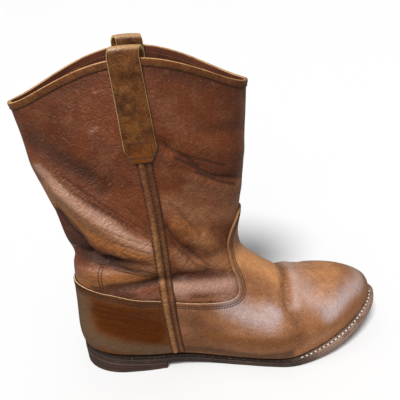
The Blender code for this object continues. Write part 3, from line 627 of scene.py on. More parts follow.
def leatherFinish(name, look):
    f = Finish(name, {"Coat Roughness": look["coatRough"], "Specular IOR Level": look["specular"]})
    g = grain
    place = f.place()
    broad = f.noise(place, look["patch"], 4.0, 0.6)
    mottle = f.noise(place, look["mottle"], 3.0, 0.65)
    fine = f.noise(place, look["mottle"] * g["fine"], 2.0, 0.6)
    fold = f.attribute("fold")
    paint = {kind: f.attribute(kind) for kind in kinds}
    # pebbles, fine wrinkles and longer creases across them, on a slightly warped place
    warp = f.node("TexNoise", None, {"Vector": place, "Scale": g["warpScale"], "Detail": 2.0}, 1)
    bent = f.node("VectorMath", {"operation": "MULTIPLY_ADD"}, {0: warp, 1: g["warp"], 2: place})
    pebble = f.node(
        "TexVoronoi", {"feature": "SMOOTH_F1"},
        {"Vector": bent, "Scale": look["pebble"], "Smoothness": g["pebbleSmooth"]})
    along = f.stretch(bent, (0, look["grainTurn"], 0), look["grainShape"])
    across = f.stretch(bent, (0, look["grainTurn"] - g["acrossTurn"], 0), look["grainShape"])
    wrinkle = (f.noise(along, look["wrinkle"], 2.0, 0.55) - 0.5).size()
    wrinkle = f.step(wrinkle, 0.0, g["wrinkleEdge"])
    crease = (f.noise(across, look["crease"], 1.0, 0.5) - 0.5).size()
    crease = f.step(crease, 0.0, g["creaseEdge"])
    worked = f.step(fold.size() + 2.0 * (mottle - 0.5), 0.2, 2.2)  # folds are creased more
    worked = worked * (1 - g["calmShare"]) + g["calmShare"]
    # colour
    colour = f.mix(f.step(broad, 0.32, 0.68), look["dark"], look["base"])
    colour = f.mix(f.step(mottle, 0.42, 0.75) * look["lightShare"], colour, look["light"])
    # strokes of tone, dirt, painted sheen and painted shade
    for kind, blotchy, low, high, shade in paintSteps:
        spots = fine if kind == "pale" else mottle
        mask = f.step(paint[kind] + blotchy * (spots - 0.5), low, high)
        colour = f.mix(mask * look[shade + "Share"], colour, look[shade])
    # fold crests lighter: rubbed wear, partly a painted highlight
    crest = f.step(fold + (mottle - 0.5), 0.8, 3.6)
    colour = f.mix(crest * look["wornShare"], colour, look["worn"])
    # painted shade in the hollows of the folds
    hollow = f.step(-fold + (mottle - 0.5), 0.6, 4.0)
    colour = f.mix(hollow * look["deepShare"] * g["hollowShare"], colour, look["deep"])
    # painted shade in the grooves of wrinkles, creases and pebbles and along the wrinkle lines
    groove = (1 - wrinkle) * look["wrinkleShade"] + (1 - crease) * worked * look["creaseShade"]
    colour = f.mix(groove * (1 - g["paleCover"] * paint["pale"]), colour, look["deep"])
    colour = f.mix(f.step(pebble, 0.35, 0.75) * look["pebbleShade"], colour, look["deep"])
    lines = f.step(paint["line"] + 0.5 * (fine - 0.5), 0.15, 1.0)
    colour = f.mix(lines * look["lineShade"], colour, look["deep"])
    colour = f.mix(f.step(fine, 0.5, 0.8) * wrinkle * look["speckShare"], colour, look["light"])
    # fine scratches
    drawn = f.stretch(place, g["scratchTurn"], g["scratchShape"])
    scratch = f.step(f.noise(drawn, g["scratchScale"], 2.0, 0.5), 0.74, 0.8)
    colour = f.mix(scratch * look["scratchShare"], colour, look["pale"])
    coarse = f.noise(place, look["crease"] * g["coarse"], 2.0, 0.5, 0.4)
    normal = f.bump(coarse, 1.0, look["coarseDepth"])
    normal = f.bump(crease * worked, 1.0, look["creaseDepth"], normal)
    normal = f.bump(wrinkle, 1.0, look["wrinkleDepth"], normal)
    normal = f.bump(1 - pebble, 1.0, look["pebbleDepth"], normal)
    normal = f.bump(1 - paint["line"], 1.0, look["lineDepth"], normal)
    rough = look["rough"] + (mottle - 0.5) * 0.2 + (1 - wrinkle) * 0.1
    rough = rough + paint["dirt"] * 0.15 + paint["dark"] * 0.35 - paint["pale"] * 0.1
    coat = f.step(broad, 0.3, 0.75) * look["coat"] + paint["pale"] * g["paleGloss"]
    f.set(colour=colour, rough=rough, coat=coat, normal=normal)
    return f.material


# in the looks, deep is the colour of painted shade, pale of painted sheen, bright of a lighter tone
# and painted highlights, worn of lighter fold crests
shaftLook = {
    "base": tone(119, 58, 21), "dark": tone(98, 46, 16), "light": tone(146, 88, 54),
    "gold": tone(186, 120, 62), "bright": tone(176, 122, 84), "pale": tone(220, 176, 154),
    "dirt": tone(112, 88, 60), "worn": tone(150, 88, 36), "deep": tone(40, 19, 9),
    "lightShare": 0.4, "goldShare": 0.65, "brightShare": 0.7, "paleShare": 0.6, "dirtShare": 0.8,
    "wornShare": 0.25, "deepShare": 0.62, "speckShare": 0.2, "scratchShare": 0.2,
    "wrinkleShade": 0.2, "creaseShade": 0.17, "pebbleShade": 0.16, "lineShade": 0.75,
    "patch": 22.0, "mottle": 80.0, "pebble": 600.0, "wrinkle": 330.0, "crease": 230.0,
    "grainTurn": 0.7, "grainShape": (2.2, 1.3, 0.85), "coarseDepth": 0.3, "creaseDepth": 0.22,
    "wrinkleDepth": 0.2, "pebbleDepth": 0.1, "lineDepth": 1.0,
    "rough": 0.36, "coat": 0.08, "coatRough": 0.25, "specular": 0.36,
}
vampLook = dict(
    shaftLook, base=tone(170, 115, 76), dark=tone(140, 90, 56), light=tone(184, 132, 96),
    gold=tone(156, 97, 44), bright=tone(222, 156, 100), pale=tone(208, 193, 195),
    dirt=tone(73, 55, 37), worn=tone(180, 114, 56), deep=tone(72, 36, 14),
    goldShare=0.75, brightShare=0.9, paleShare=0.8, deepShare=0.5, creaseShade=0.18,
    pebbleShade=0.12, lineShade=0.5, patch=17.0, pebble=700.0, wrinkle=340.0, grainTurn=1.1,
    coarseDepth=0.55, creaseDepth=0.2, wrinkleDepth=0.14, pebbleDepth=0.06, lineDepth=0.5,
    coat=0.1, specular=0.32,
)
counterLook = dict(
    vampLook, base=tone(113, 65, 30), dark=tone(92, 53, 24), light=tone(128, 79, 43),
    gold=tone(88, 40, 0), pale=tone(170, 120, 84), dirt=tone(106, 85, 64), deep=tone(44, 22, 10),
    goldShare=1.0, lineShade=0.45, wrinkleShade=0.14, creaseShade=0.16, grainTurn=0.1,
    creaseDepth=0.25, rough=0.45, coat=0.0, specular=0.12,
)
seamLook = dict(
    shaftLook, base=tone(104, 58, 28), dark=tone(88, 47, 22), light=tone(120, 70, 36),
    worn=tone(160, 102, 60), gold=tone(184, 130, 72), goldShare=0.85, wornShare=0.5,
    wrinkleShade=0.25, creaseShade=0.25, creaseDepth=0.12, wrinkleDepth=0.12,
)
strapLook = dict(
    vampLook, base=tone(117, 66, 20), dark=tone(72, 37, 10), light=tone(150, 95, 42),
    worn=tone(150, 96, 36), gold=tone(122, 64, 14), pale=tone(206, 160, 110), deep=tone(44, 23, 9),
    wrinkleShade=0.25, creaseShade=0.35, lightShare=0.6, rough=0.38, specular=0.24,
    creaseDepth=0.25, wrinkleDepth=0.15, mottle=110.0, patch=60.0,
)
bandLook = dict(
    strapLook, base=tone(124, 72, 35), dark=tone(102, 56, 26), light=tone(150, 97, 55),
    lightShare=0.5,
)
weltLook = dict(
    strapLook, base=tone(164, 134, 116), dark=tone(124, 95, 78), light=tone(188, 160, 142),
    deep=tone(24, 16, 12), deepShare=0.95, rough=0.62, coat=0.0, wrinkle=600.0, wrinkleShade=0.4,
)
insoleLook = dict(
    weltLook, base=tone(150, 112, 78), dark=tone(104, 72, 46), light=tone(170, 134, 96), patch=30.0,
)

shaftLeather = leatherFinish("shaftLeather", shaftLook)
vampLeather = leatherFinish("vampLeather", vampLook)
counterLeather = leatherFinish("counterLeather", counterLook)
seamLeather = leatherFinish("seamLeather", seamLook)
strapLeather = leatherFinish("strapLeather", strapLook)
bandLeather = leatherFinish("bandLeather", bandLook)
weltLeather = leatherFinish("weltLeather", weltLook)
insoleLeather = leatherFinish("insoleLeather", insoleLook)


# cut edges of the leather, with painted shade towards the tongue where the look says so
rawEdge = {"fibre": 900.0, "blotch": 70.0, "tongueX": (120, 142), "tongueZ": (80, 96)}


def rawFinish(name, look):
    f = Finish(name, {"Roughness": 0.75})
    place = f.place()
    axes = f.axes(place)
    fibre = f.noise(place, rawEdge["fibre"], 3.0, 0.7)
    stain = f.noise(place, rawEdge["blotch"], 3.0, 0.6)
    colour = f.mix(f.step(stain, 0.4, 0.72), look["pale"], look["stain"])
    colour = f.mix(f.step(fibre, 0.62, 0.35) * 0.5, colour, look["deep"])
    # painted shade on the cut edges along the tongue
    tongue = f.step(axes[0], *rawEdge["tongueX"]) * f.step(axes[2], *rawEdge["tongueZ"])
    colour = f.mix(tongue * look["tongueShade"], colour, look["deep"])
    f.set(colour=colour, normal=f.bump(fibre, 0.5, 0.3))
    return f.material


creamLook = {
    "pale": tone(238, 214, 174), "stain": tone(208, 170, 122), "deep": tone(118, 82, 50),
    "tongueShade": 0.85,
}
tanLook = {
    "pale": tone(214, 164, 108), "stain": tone(172, 118, 68), "deep": tone(116, 76, 42),
    "tongueShade": 0.0,
}
yellowLook = {
    "pale": tone(214, 186, 122), "stain": tone(180, 142, 78), "deep": tone(120, 84, 40),
    "tongueShade": 0.0,
}
rawCream = rawFinish("rawCream", creamLook)
rawTan = rawFinish("rawTan", tanLook)
rawYellow = rawFinish("rawYellow", yellowLook)


def liningFinish(name, look):
    f = Finish(name, {"Specular IOR Level": 0.15})
    place = f.place()
    nap = f.noise(place, look["nap"], 4.0, 0.65)
    wear = f.noise(place, look["wear"], 3.0, 0.6)
    colour = f.mix(f.step(wear, 0.35, 0.7), look["dark"], look["base"])
    colour = f.mix(f.step(nap, 0.55, 0.75) * look["lightShare"], colour, look["light"])
    f.set(colour=colour, rough=look["rough"] + (nap - 0.5) * 0.2, normal=f.bump(nap, 0.35, 0.4))
    return f.material


liningLook = {
    "base": tone(102, 54, 36), "dark": tone(74, 38, 27), "light": tone(132, 86, 64),
    "lightShare": 0.4, "nap": 420.0, "wear": 28.0, "rough": 0.72,
}
lining = liningFinish("lining", liningLook)


def rubberFinish(name, look):  # stacked layers show as lines on the edge
    f = Finish(name, {"Specular IOR Level": 0.35})
    place = f.place()
    axes = f.axes(place)
    dust = f.noise(place, look["dustScale"], 4.0, 0.65)
    pits = f.noise(place, look["pitScale"], 3.0, 0.6)
    height = f.attribute("height")
    colour = f.mix(f.step(dust, 0.35, 0.7), look["dark"], look["base"])
    toe = f.step(axes[0] + 50 * (dust - 0.5), *look["toeRun"])
    colour = f.mix(toe * look["toeShare"], colour, look["toe"])
    colour = f.mix(f.step(pits, 0.6, 0.72) * look["pitShare"], colour, look["dust"])
    away = [height - line for line in look["lines"]]
    groove = sum(1 - f.step(gap * gap, 0.0, look["lineReach"]) for gap in away)
    colour = f.mix(groove * look["lineShade"], colour, look["deep"])
    drag = f.noise(f.stretch(place, (0, 0, 0), look["dragShape"]), look["dragScale"], 2.0, 0.5)
    colour = f.mix(f.step(drag, 0.58, 0.75) * look["dragShare"], colour, look["dust"])
    sand = f.step(axes[2], look["sandTo"], 0.0) * f.step(dust, 0.3, 0.6)
    colour = f.mix(sand * look["sandShare"], colour, look["dust"])
    normal = f.bump(-groove, 0.6, 0.5)
    normal = f.bump(pits + drag, 0.3, 0.3, normal)
    f.set(colour=colour, rough=look["rough"] + (dust - 0.5) * 0.3, normal=normal)
    return f.material


soleLook = {
    "base": tone(62, 44, 35), "dark": tone(43, 30, 24), "dust": tone(104, 81, 66),
    "toe": tone(160, 128, 112), "deep": tone(28, 19, 15), "dustScale": 60.0, "pitScale": 700.0,
    "pitShare": 0.5, "toeRun": (190, 255), "toeShare": 0.85, "lines": (2.6,), "lineReach": 0.09,
    "lineShade": 0.45, "dragShape": (5.0, 5.0, 1.0), "dragScale": 800.0, "dragShare": 0.35,
    "sandTo": 3.5, "sandShare": 0.4, "rough": 0.68,
}
heelLook = dict(soleLook, base=tone(74, 50, 39), dark=tone(54, 36, 28), lines=(5.5, 10.5))
soleRubber = rubberFinish("soleRubber", soleLook)
heelRubber = rubberFinish("heelRubber", heelLook)


thread = {"twist": 900.0, "lay": (0.6, 0.6, 0), "shape": (1, 1, 3), "wear": 45.0, "rough": 0.6}


def threadFinish(name, shade, pale):
    f = Finish(name, {"Roughness": thread["rough"]})
    place = f.place()
    twist = f.noise(f.stretch(place, thread["lay"], thread["shape"]), thread["twist"], 2.0, 0.5)
    worn = f.noise(place, thread["wear"], 3.0, 0.6)
    colour = f.mix(f.step(worn, 0.4, 0.7), shade, pale)
    f.set(colour=colour, normal=f.bump(twist, 0.4, 0.2))
    return f.material


brownThread = threadFinish("brownThread", tone(44, 26, 16), tone(74, 46, 28))
edgeThread = threadFinish("edgeThread", tone(60, 36, 22), tone(92, 60, 40))
tanThread = threadFinish("tanThread", tone(122, 82, 46), tone(164, 122, 76))
# dark bodies set between the welt stitches as painted shadow
stitchShadow = threadFinish("stitchShadow", tone(24, 15, 11), tone(40, 26, 19))
creamThread = threadFinish("creamThread", tone(222, 206, 184), tone(246, 238, 224))
print("finishes ready")


def addGrid(bm, points, rowSlots, values):
    rows, columns = points.shape[:2]
    for name in values:
        if bm.verts.layers.float.get(name) is None:
            bm.verts.layers.float.new(name)
    layers = {name: bm.verts.layers.float[name] for name in values}
    verts = bmesh.ops.create_grid(bm, x_segments=columns - 1, y_segments=rows - 1, size=1)["verts"]
    for vertex, point in zip(verts, ((points.reshape(-1, 3) - shift) * mm).tolist()):
        vertex.co = point
    for name, layer in layers.items():
        spread = np.broadcast_to(values[name], points.shape[:2]).ravel().tolist()
        for vertex, value in zip(verts, spread):
            vertex[layer] = value
    faces = dict.fromkeys(face for vertex in verts for face in vertex.link_faces)
    for face in faces:
        face.smooth = True
    if rowSlots is not None:
        known = {vertex: place // columns for place, vertex in enumerate(verts)}
        for face in faces:
            face.material_index = int(rowSlots[min(known[v] for v in face.verts)])


def makePiece(bm, name, materials, node, solid=True):
    bmesh.ops.remove_doubles(bm, verts=bm.verts, dist=0.01 * mm)
    if solid:
        holes = [edge for edge in bm.edges if edge.is_boundary]
        if holes:
            bmesh.ops.holes_fill(bm, edges=holes)
        bmesh.ops.recalc_face_normals(bm, faces=bm.faces)
    mesh = bpy.data.meshes.new(name)
    bm.to_mesh(mesh)
    bm.free()
    for material in materials:
        mesh.materials.append(material)
    piece = bpy.data.objects.new(name, mesh)
    bpy.context.scene.collection.objects.link(piece)
    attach(piece, "root")
    if node:
        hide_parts(node)


def gridPiece(name, points, materials, node, rowSlots, values):
    bm = bmesh.new()
    addGrid(bm, points, rowSlots, values)
    makePiece(bm, name, materials, node)


def wrap(rows):  # closes a stack of rows into a tube
    return np.concatenate([rows, rows[:1]])


# upper: up the outside, over the cut rim and down the lining
upperMesh = {
    "around": 340, "lowRows": 16, "highRows": 200, "insideRows": 58, "coveredTo": 5.0, "rim": 0.5,
    "rimSection": (
        (0, -0.5), (-0.15, -0.15), (-0.5, 0), (-1.0, 0.05), (-1.5, 0), (-1.85, -0.15), (-2, -0.5),
    ),
}


def buildUpper():
    u = upperMesh
    theta = np.linspace(0, turn, u["around"] + 1)[None, :]
    wall = leather["wall"]
    outer = np.concatenate([
        np.linspace(0, u["coveredTo"], u["lowRows"], endpoint=False),
        np.linspace(u["coveredTo"], top, u["highRows"]),
    ])
    faces = upperFace(theta, outer[:, None])
    edge = upperFace(theta, np.array([[top]]))[0]
    lean = outward(theta, np.array([[float(top)]]))[0]
    rim = [edge + lean * out + np.array([0, 0, rise]) for out, rise in u["rimSection"]]
    faces[-1, :, 2] -= u["rim"]
    inner = np.linspace(top, 0, u["insideRows"])
    inside = upperFace(theta, inner[:, None], -wall)
    inside[0, :, 2] -= u["rim"]
    points = wrap(np.concatenate([faces[:-1], np.stack(rim), inside[1:]]))
    rowSlots = np.zeros(len(points), int)
    rowSlots[len(faces) - 1:] = 1
    rowSlots[len(faces) + len(rim) - 2:] = 2
    values = {name: np.zeros(points.shape[:2]) for name in ("fold",) + kinds}
    for name, value in values.items():
        if name == "fold":
            shown = foldAt(theta, outer[:, None])
        else:
            shown = painted(name, theta, outer[:, None])
        value[:len(faces) - 1] = shown[:-1]
    materials = [shaftLeather, rawTan, lining]
    gridPiece("upper_shaft", points, materials, "upper", rowSlots, values)


# layers laid on the upper: rows follow the cut edge, then run down to the welt
layerMesh = {
    "edgeRows": (0, 0.4, 0.8, 1.3, 2.0, 2.8, 3.5, 4.1, 4.6, 5.2, 5.8, 6.4, 7.0, 7.8, 8.8),
    "rows": 84, "insideRows": 20, "insideOut": 0.15, "vampColumns": 170, "counterColumns": 110,
    "stitchRows": (3.8, 6.2), "groove": 0.45, "grooveRun": 0.7, "roundEdge": 0.35, "roundRun": 0.5,
    "edgeSteps": (1.1, 1.5, 1.9), "edgeShade": 0.62, "shadeRun": 2.5, "seamPower": 4,
}


def towards(start, end, share, out):  # a row on the way from one row to another
    theta = start[0] + (end[0] - start[0]) * share
    return theta, start[1] + (end[1] - start[1]) * share, np.full_like(theta, out)


def layerFace(edges, low, mirror, name, material, node):
    m = layerMesh
    lift = leather["layerGap"] + leather["layer"]
    rows = []
    for distance, (theta, level) in zip(m["edgeRows"], edges):
        out = lift - m["roundEdge"] * bell(distance, m["roundRun"])
        for row in m["stitchRows"]:
            out = out - m["groove"] * bell(distance - row, m["grooveRun"])
        rows.append((theta, level, np.full_like(theta, out)))
    for share in np.linspace(0, 1, m["rows"])[1:]:
        rows.append(towards(edges[-1], low, share, lift))
    back = [towards(edges[0], low, share, m["insideOut"])
            for share in np.linspace(1, 0, m["insideRows"])]
    edge = [towards(edges[0], low, 0, out) for out in m["edgeSteps"]]
    grid = np.array(rows + back + edge + rows[:1])
    theta, level, out = np.moveaxis(grid, 1, 0)
    stray = seamAngle(level[:, :1]) - theta[:, :1]
    followed = np.linspace(1, 0, theta.shape[1]) ** m["seamPower"]  # side edge follows the seam
    theta = theta + stray * followed
    theta = np.concatenate([theta, mirror - theta[:, -2::-1]], axis=1)
    level = np.concatenate([level, level[:, -2::-1]], axis=1)
    out = np.concatenate([out, out[:, -2::-1]], axis=1)
    rowSlots = np.zeros(len(grid), int)
    rowSlots[len(rows) + len(back):] = 1
    points = upperFace(theta, np.clip(level, 0, top), out)
    values = {kind: painted(kind, theta, level) for kind in kinds}
    for row, distance in enumerate(m["edgeRows"]):
        shade = m["edgeShade"] * (1 - ease((distance - m["stitchRows"][1]) / m["shadeRun"]))
        values["dark"][row] = np.maximum(values["dark"][row], shade)
    # painted shadow on the back and lower part of the cut edge's wall
    values["dark"][len(rows) + len(back) - 1:] = 1.0
    values["fold"] = foldAt(theta, level)
    gridPiece(name, points, [material, rawCream], node, rowSlots, values)


def buildLayers():
    m = layerMesh
    tuck = leather["tuck"]
    line = cutPart(seamPlace, 1, m["vampColumns"])
    edges = [offsetEdge(*line, distance) for distance in m["edgeRows"]]
    low = np.linspace(seamAngle(tuck), 0, m["vampColumns"])
    for theta, level in edges:
        theta[-1] = 0
        theta[0] = seamAngle(level[0])
    low = (low, np.full_like(low, tuck))
    layerFace(edges, low, 0, "vamp_panel", vampLeather, "vamp")
    line = cutPart(seamPlace, 0, m["counterColumns"])
    edges = [offsetEdge(*line, -distance) for distance in m["edgeRows"]]
    low = np.linspace(seamAngle(tuck), np.pi, m["counterColumns"])
    for theta, level in edges:
        theta[-1] = np.pi
        theta[0] = seamAngle(level[0])
    low = (low, np.full_like(low, tuck))
    layerFace(edges, low, turn, "counter_panel", counterLeather, "counter")


# raised side seams: two ridges and three stitch rows
seamStrip = {
    "width": 13.0, "ridges": ((-0.2, 0.18, 1.4), (0.29, 0.14, 1.1)), "across": 21, "margin": 0.1,
    "edge": 0.1, "sink": 0.28, "lowZ": 18.5, "meetZ": 80.0, "meetGap": 0.2, "topZ": 214.5,
    "shaftRows": 130, "footRows": 60, "shaftUnder": 0.1, "footUnder": 0.3, "stepRun": 9.0,
    "wear": (3.4, 1.6), "goldBelow": 190.0, "goldRun": 60.0,
}


def stripPiece(name, sections, materials, node, sectionSlots, values, ring=False):
    # solid through a row of closed sections
    sections = np.concatenate([sections, sections[:, :1]], axis=1)
    if ring:
        sections = wrap(sections)
    points = np.swapaxes(sections, 0, 1)
    flipped = {key: np.swapaxes(value, 0, 1) for key, value in values.items()}
    gridPiece(name, points, materials, node, sectionSlots, flipped)


def seamPlaces(heights, across):
    x = smooth([z for x, z in seamLine], [x for x, z in seamLine], heights)
    theta, level = find((x[:, None] + across[None, :]).ravel(), np.repeat(heights, len(across)))
    return theta.reshape(len(heights), -1), level.reshape(len(heights), -1)


def buildSeams():
    s = seamStrip
    share = np.linspace(-0.5, 0.5, s["across"])
    ridges = [height * bell(share - at, breadth) for at, breadth, height in s["ridges"]]
    margin = ease((0.5 - np.abs(share)) / s["margin"])
    rise = (s["edge"] + sum(ridges) + s["sink"]) * margin - s["sink"]
    # ridge tops lighter and golden: worn, and partly a painted highlight
    wear = sum(ridge * amount for ridge, amount in zip(ridges, s["wear"]))
    layered = leather["layerGap"] + leather["layer"] + sole["gap"]
    shaftHeights = np.linspace(s["meetZ"], s["topZ"], s["shaftRows"])
    footHeights = np.linspace(s["lowZ"], s["meetZ"] - s["meetGap"], s["footRows"])
    for part, heights, base, slot in (
        ("shaft", shaftHeights, s["shaftUnder"], "shaft_leather"),
        ("foot", footHeights, layered - s["footUnder"], "counter_leather"),
    ):
        theta, level = seamPlaces(heights, share * s["width"])
        step = 1 - ease((heights - s["meetZ"]) / s["stepRun"])
        lift = sole["gap"] + (layered - sole["gap"]) * step[:, None]
        for side, sign in (("lateral", 1), ("medial", -1)):
            over = upperFace(sign * theta, level, lift + rise)
            under = upperFace(sign * theta, level, base)
            sections = np.concatenate([over, under[:, ::-1]], axis=1)
            fold = np.concatenate([np.broadcast_to(wear, theta.shape), 0 * theta], axis=1)
            fold = np.concatenate([fold, fold[:, :1]], axis=1)
            gold = fold / fold.max() * ease((s["goldBelow"] - heights) / s["goldRun"])[:, None]
            stripPiece(
                f"{part}_seam_strip_{side}", sections, [seamLeather], f"{part}_seam_{side}",
                None, {"fold": fold, "gold": gold})


# band round the collar
collarBand = {
    "around": 340, "section": (
        (0.05, -6.2), (0.3, -6.3), (0.55, -6.0), (0.6, -5.3), (0.85, -4.5), (1.1, -3.0),
        (1.25, -1.5), (1.2, -0.6), (0.95, -0.1), (0.6, -0.02), (0.35, -0.1), (0.1, -3.0),
    ), "rawFrom": 7, "rawTo": 10, "sewnTo": 4, "sewnShade": 0.6,
}


def rimSlope(theta):  # level of the rim, and mm along the surface for each level there
    rim = np.full_like(theta, float(top))
    step = 0.1
    return rim, np.linalg.norm(upperFace(theta, rim) - upperFace(theta, rim - step), axis=-1) / step


def buildBand():
    b = collarBand
    theta = np.linspace(0, turn, b["around"] + 1)[:-1]
    rim, slope = rimSlope(theta)
    sections = [upperFace(theta, rim + down / slope, out) for out, down in b["section"]]
    sections = np.stack(sections, axis=1)
    slots = np.zeros(len(b["section"]) + 1, int)
    slots[b["rawFrom"]:b["rawTo"]] = 1
    fold = np.zeros((len(theta) + 1, len(b["section"]) + 1))
    shade = fold.copy()
    shade[:, :b["sewnTo"]] = b["sewnShade"]
    stripPiece(
        "collar_binding", sections, [bandLeather, rawTan], "collar_band", slots,
        {"fold": fold, "dark": shade}, ring=True)


# pull straps: tapered end outside, loop over the rim, end inside
strap = {
    "width": 23.0, "lowWidth": 25.5, "tip": 12.0, "thickness": 2.2, "endZ": 215.0, "endX": 77.5,
    "topX": 71.5, "taper": 11.0, "insideZ": 254.0, "straight": 2.0, "loop": 6.0, "band": 0.8,
    "twist": 4.5, "climb": 16.0, "climbRun": 8.0,
    "tipRows": 14, "rows": 44, "loopRows": 25, "insideRows": 20,
    "across": (-0.5, -0.485, -0.45, -0.38, -0.25, -0.12, 0, 0.12, 0.25, 0.38, 0.45, 0.485, 0.5),
    "thick": (0.72, 0.93, 1.0, 1.0, 1.0, 1.0, 1.0, 1.0, 1.0, 1.0, 1.0, 0.93, 0.72),
    "glowUp": 26.0, "edgeDarkening": 0.5, "edgeFrom": 0.3, "edgeRun": 0.2, "edgeTo": 6, "edgeFade": 4,
    "loopHighlight": 0.9, "loopFrom": 4, "loopRun": 3.5,
}
overRim = 400.0  # a height above any rim finds the rim itself
rimPlace = find(strap["topX"], overRim)
rimZ = upperFace(*rimPlace)[0, 2]


def strapStations():  # height, distance out, rise over the rim, share of the width, sideways shift
    seat = sole["gap"] + strap["thickness"] / 2
    over = seat + strap["band"] + sole["gap"]
    within = -(leather["wall"] + sole["gap"] + strap["thickness"] / 2)
    stations = []
    low = strap["endZ"]
    share = strap["tip"] / strap["width"]
    for z in np.linspace(low, low + strap["taper"], strap["tipRows"]):
        u = (z - low) / strap["taper"]
        stations.append((z, seat, 0.0, share + (1 - share) * u, 0.0))
    for z in np.linspace(low + strap["taper"], rimZ, strap["rows"])[1:]:
        climbed = float(ease((z - rimZ + strap["climb"]) / strap["climbRun"]))
        stations.append((z, seat + (over - seat) * climbed, 0.0, 1.0, 0.0))
    middle, reach = (over + within) / 2, (over - within) / 2
    for angle in np.linspace(0, np.pi, strap["loopRows"]):
        rise = strap["straight"] + strap["loop"] * math.sin(angle)
        twist = strap["twist"] * float(ease(angle / np.pi))
        stations.append((rimZ, middle + reach * math.cos(angle), rise, 1.0, twist))
    for z in np.linspace(rimZ, strap["insideZ"], strap["insideRows"]):
        stations.append((z, within, 0.0, 1.0, strap["twist"]))
    return stations


def strapLines(sign, across, stations):
    lines = []
    for z, out, rise, share, twist in stations:
        lean = (rimZ - z) / (rimZ - strap["endZ"])
        width = strap["width"] + (strap["lowWidth"] - strap["width"]) * lean * (out > 0)
        x = strap["topX"] + lean * (strap["endX"] - strap["topX"]) + across * width * share + twist
        theta, level = find(x, np.full(len(across), z))
        line = upperFace(sign * theta, level, out)
        line[:, 2] += rise
        lines.append(line)
    return np.stack(lines)


def buildStraps():
    across, thick = np.array(strap["across"]), np.array(strap["thick"])
    stations = strapStations()
    count = len(across)
    heights = np.array([station[0] for station in stations])[:, None]
    around = np.concatenate([across, across[::-1], across[:1]])[None, :]
    rises = np.array([station[2] for station in stations])[:, None]
    glow = ease((strap["endZ"] + strap["glowUp"] - heights) / strap["glowUp"])
    # darker towards the strap's long edges, fading out on the loop
    edges = ease((np.abs(around) - strap["edgeFrom"]) / strap["edgeRun"])
    edges = strap["edgeDarkening"] * edges * ease((strap["edgeTo"] - rises) / strap["edgeFade"])
    # painted highlight on the top of the loop
    worn = strap["loopHighlight"] * ease((rises - strap["loopFrom"]) / strap["loopRun"])
    none = 0 * heights * around
    values = {"fold": none, "gold": glow + none, "dark": edges, "pale": worn + none}
    for side, sign in (("lateral", 1), ("medial", -1)):
        lines = strapLines(sign, across, stations)
        path = np.gradient(lines, axis=0)
        width = np.gradient(lines, axis=1)
        out = unit(np.cross(path, width)) * strap["thickness"] / 2 * thick[None, :, None]
        sections = np.concatenate([lines + out, (lines - out)[:, ::-1]], axis=1)
        slots = np.zeros(2 * count + 1, int)
        slots[[0, count - 2, count - 1, count, 2 * count - 2, 2 * count - 1]] = 1
        stripPiece(
            f"pull_strap_loop_{side}", sections, [strapLeather, rawYellow], f"pull_strap_{side}",
            slots, values)


def insetEdge(edge, theta, inset):
    x, y = edge(theta)
    step = 0.01
    ahead, behind = np.array(edge(theta + step)), np.array(edge(theta - step))
    dx, dy = (ahead - behind) / np.hypot(*(ahead - behind))
    return x + dy * inset, y - dx * inset


def featherEdge(theta):
    points = bare(theta, np.zeros_like(theta))
    return points[..., 0], points[..., 1]


def soleLoop(edge, theta, inset, above):
    x, y = insetEdge(edge, theta, inset)
    return np.stack([x, y, soleLine(x) + above], -1)


def platePiece(name, loops, heights, materials, node):
    # solid between stacked loops whose two halves face each other across the foot
    loops = np.stack(loops)
    bm = bmesh.new()
    addGrid(bm, np.concatenate([loops, loops[:, :1]], axis=1), None,
            {"height": np.array(heights)[:, None], "fold": 0.0})
    half = loops.shape[1] // 2
    for loop, height in ((loops[0], heights[0]), (loops[-1], heights[-1])):
        first, second = loop[:half], loop[half:][::-1]
        share = np.linspace(0, 1, soleMesh["across"])[:, None, None]
        addGrid(bm, first * (1 - share) + second * share, None, {"height": height, "fold": 0.0})
    makePiece(bm, name, materials, node)


# edges of plates and strips: inset and height, heel heights as a share
soleMesh = {
    "around": 420, "across": 9, "heelAround": 220, "insoleAround": 240, "weltAround": 320,
    "randAround": 160,
    "outsoleRows": (
        (0.8, 0.0), (0.25, 0.2), (0.0, 0.8), (0.05, 1.6), (0.0, 2.3), (0.25, 2.6), (0.0, 2.9),
        (0.05, 3.6), (0.1, 4.2), (0.4, sole["outsole"]),
    ),
    "heelRows": (
        (1.3, 0.0), (0.75, 0.03), (0.6, 0.08), (0.5, 0.3), (0.7, 0.34), (0.45, 0.38), (0.25, 0.62),
        (0.45, 0.66), (0.2, 0.7), (0.0, 1.0),
    ),
    "heelHeight": 16, "insoleRows": ((0.0, -0.7), (0.2, -0.2), (0.7, 0.0)),
    "weltShade": 1.0, "shadeBack": 175, "shadeRun": 80,
}


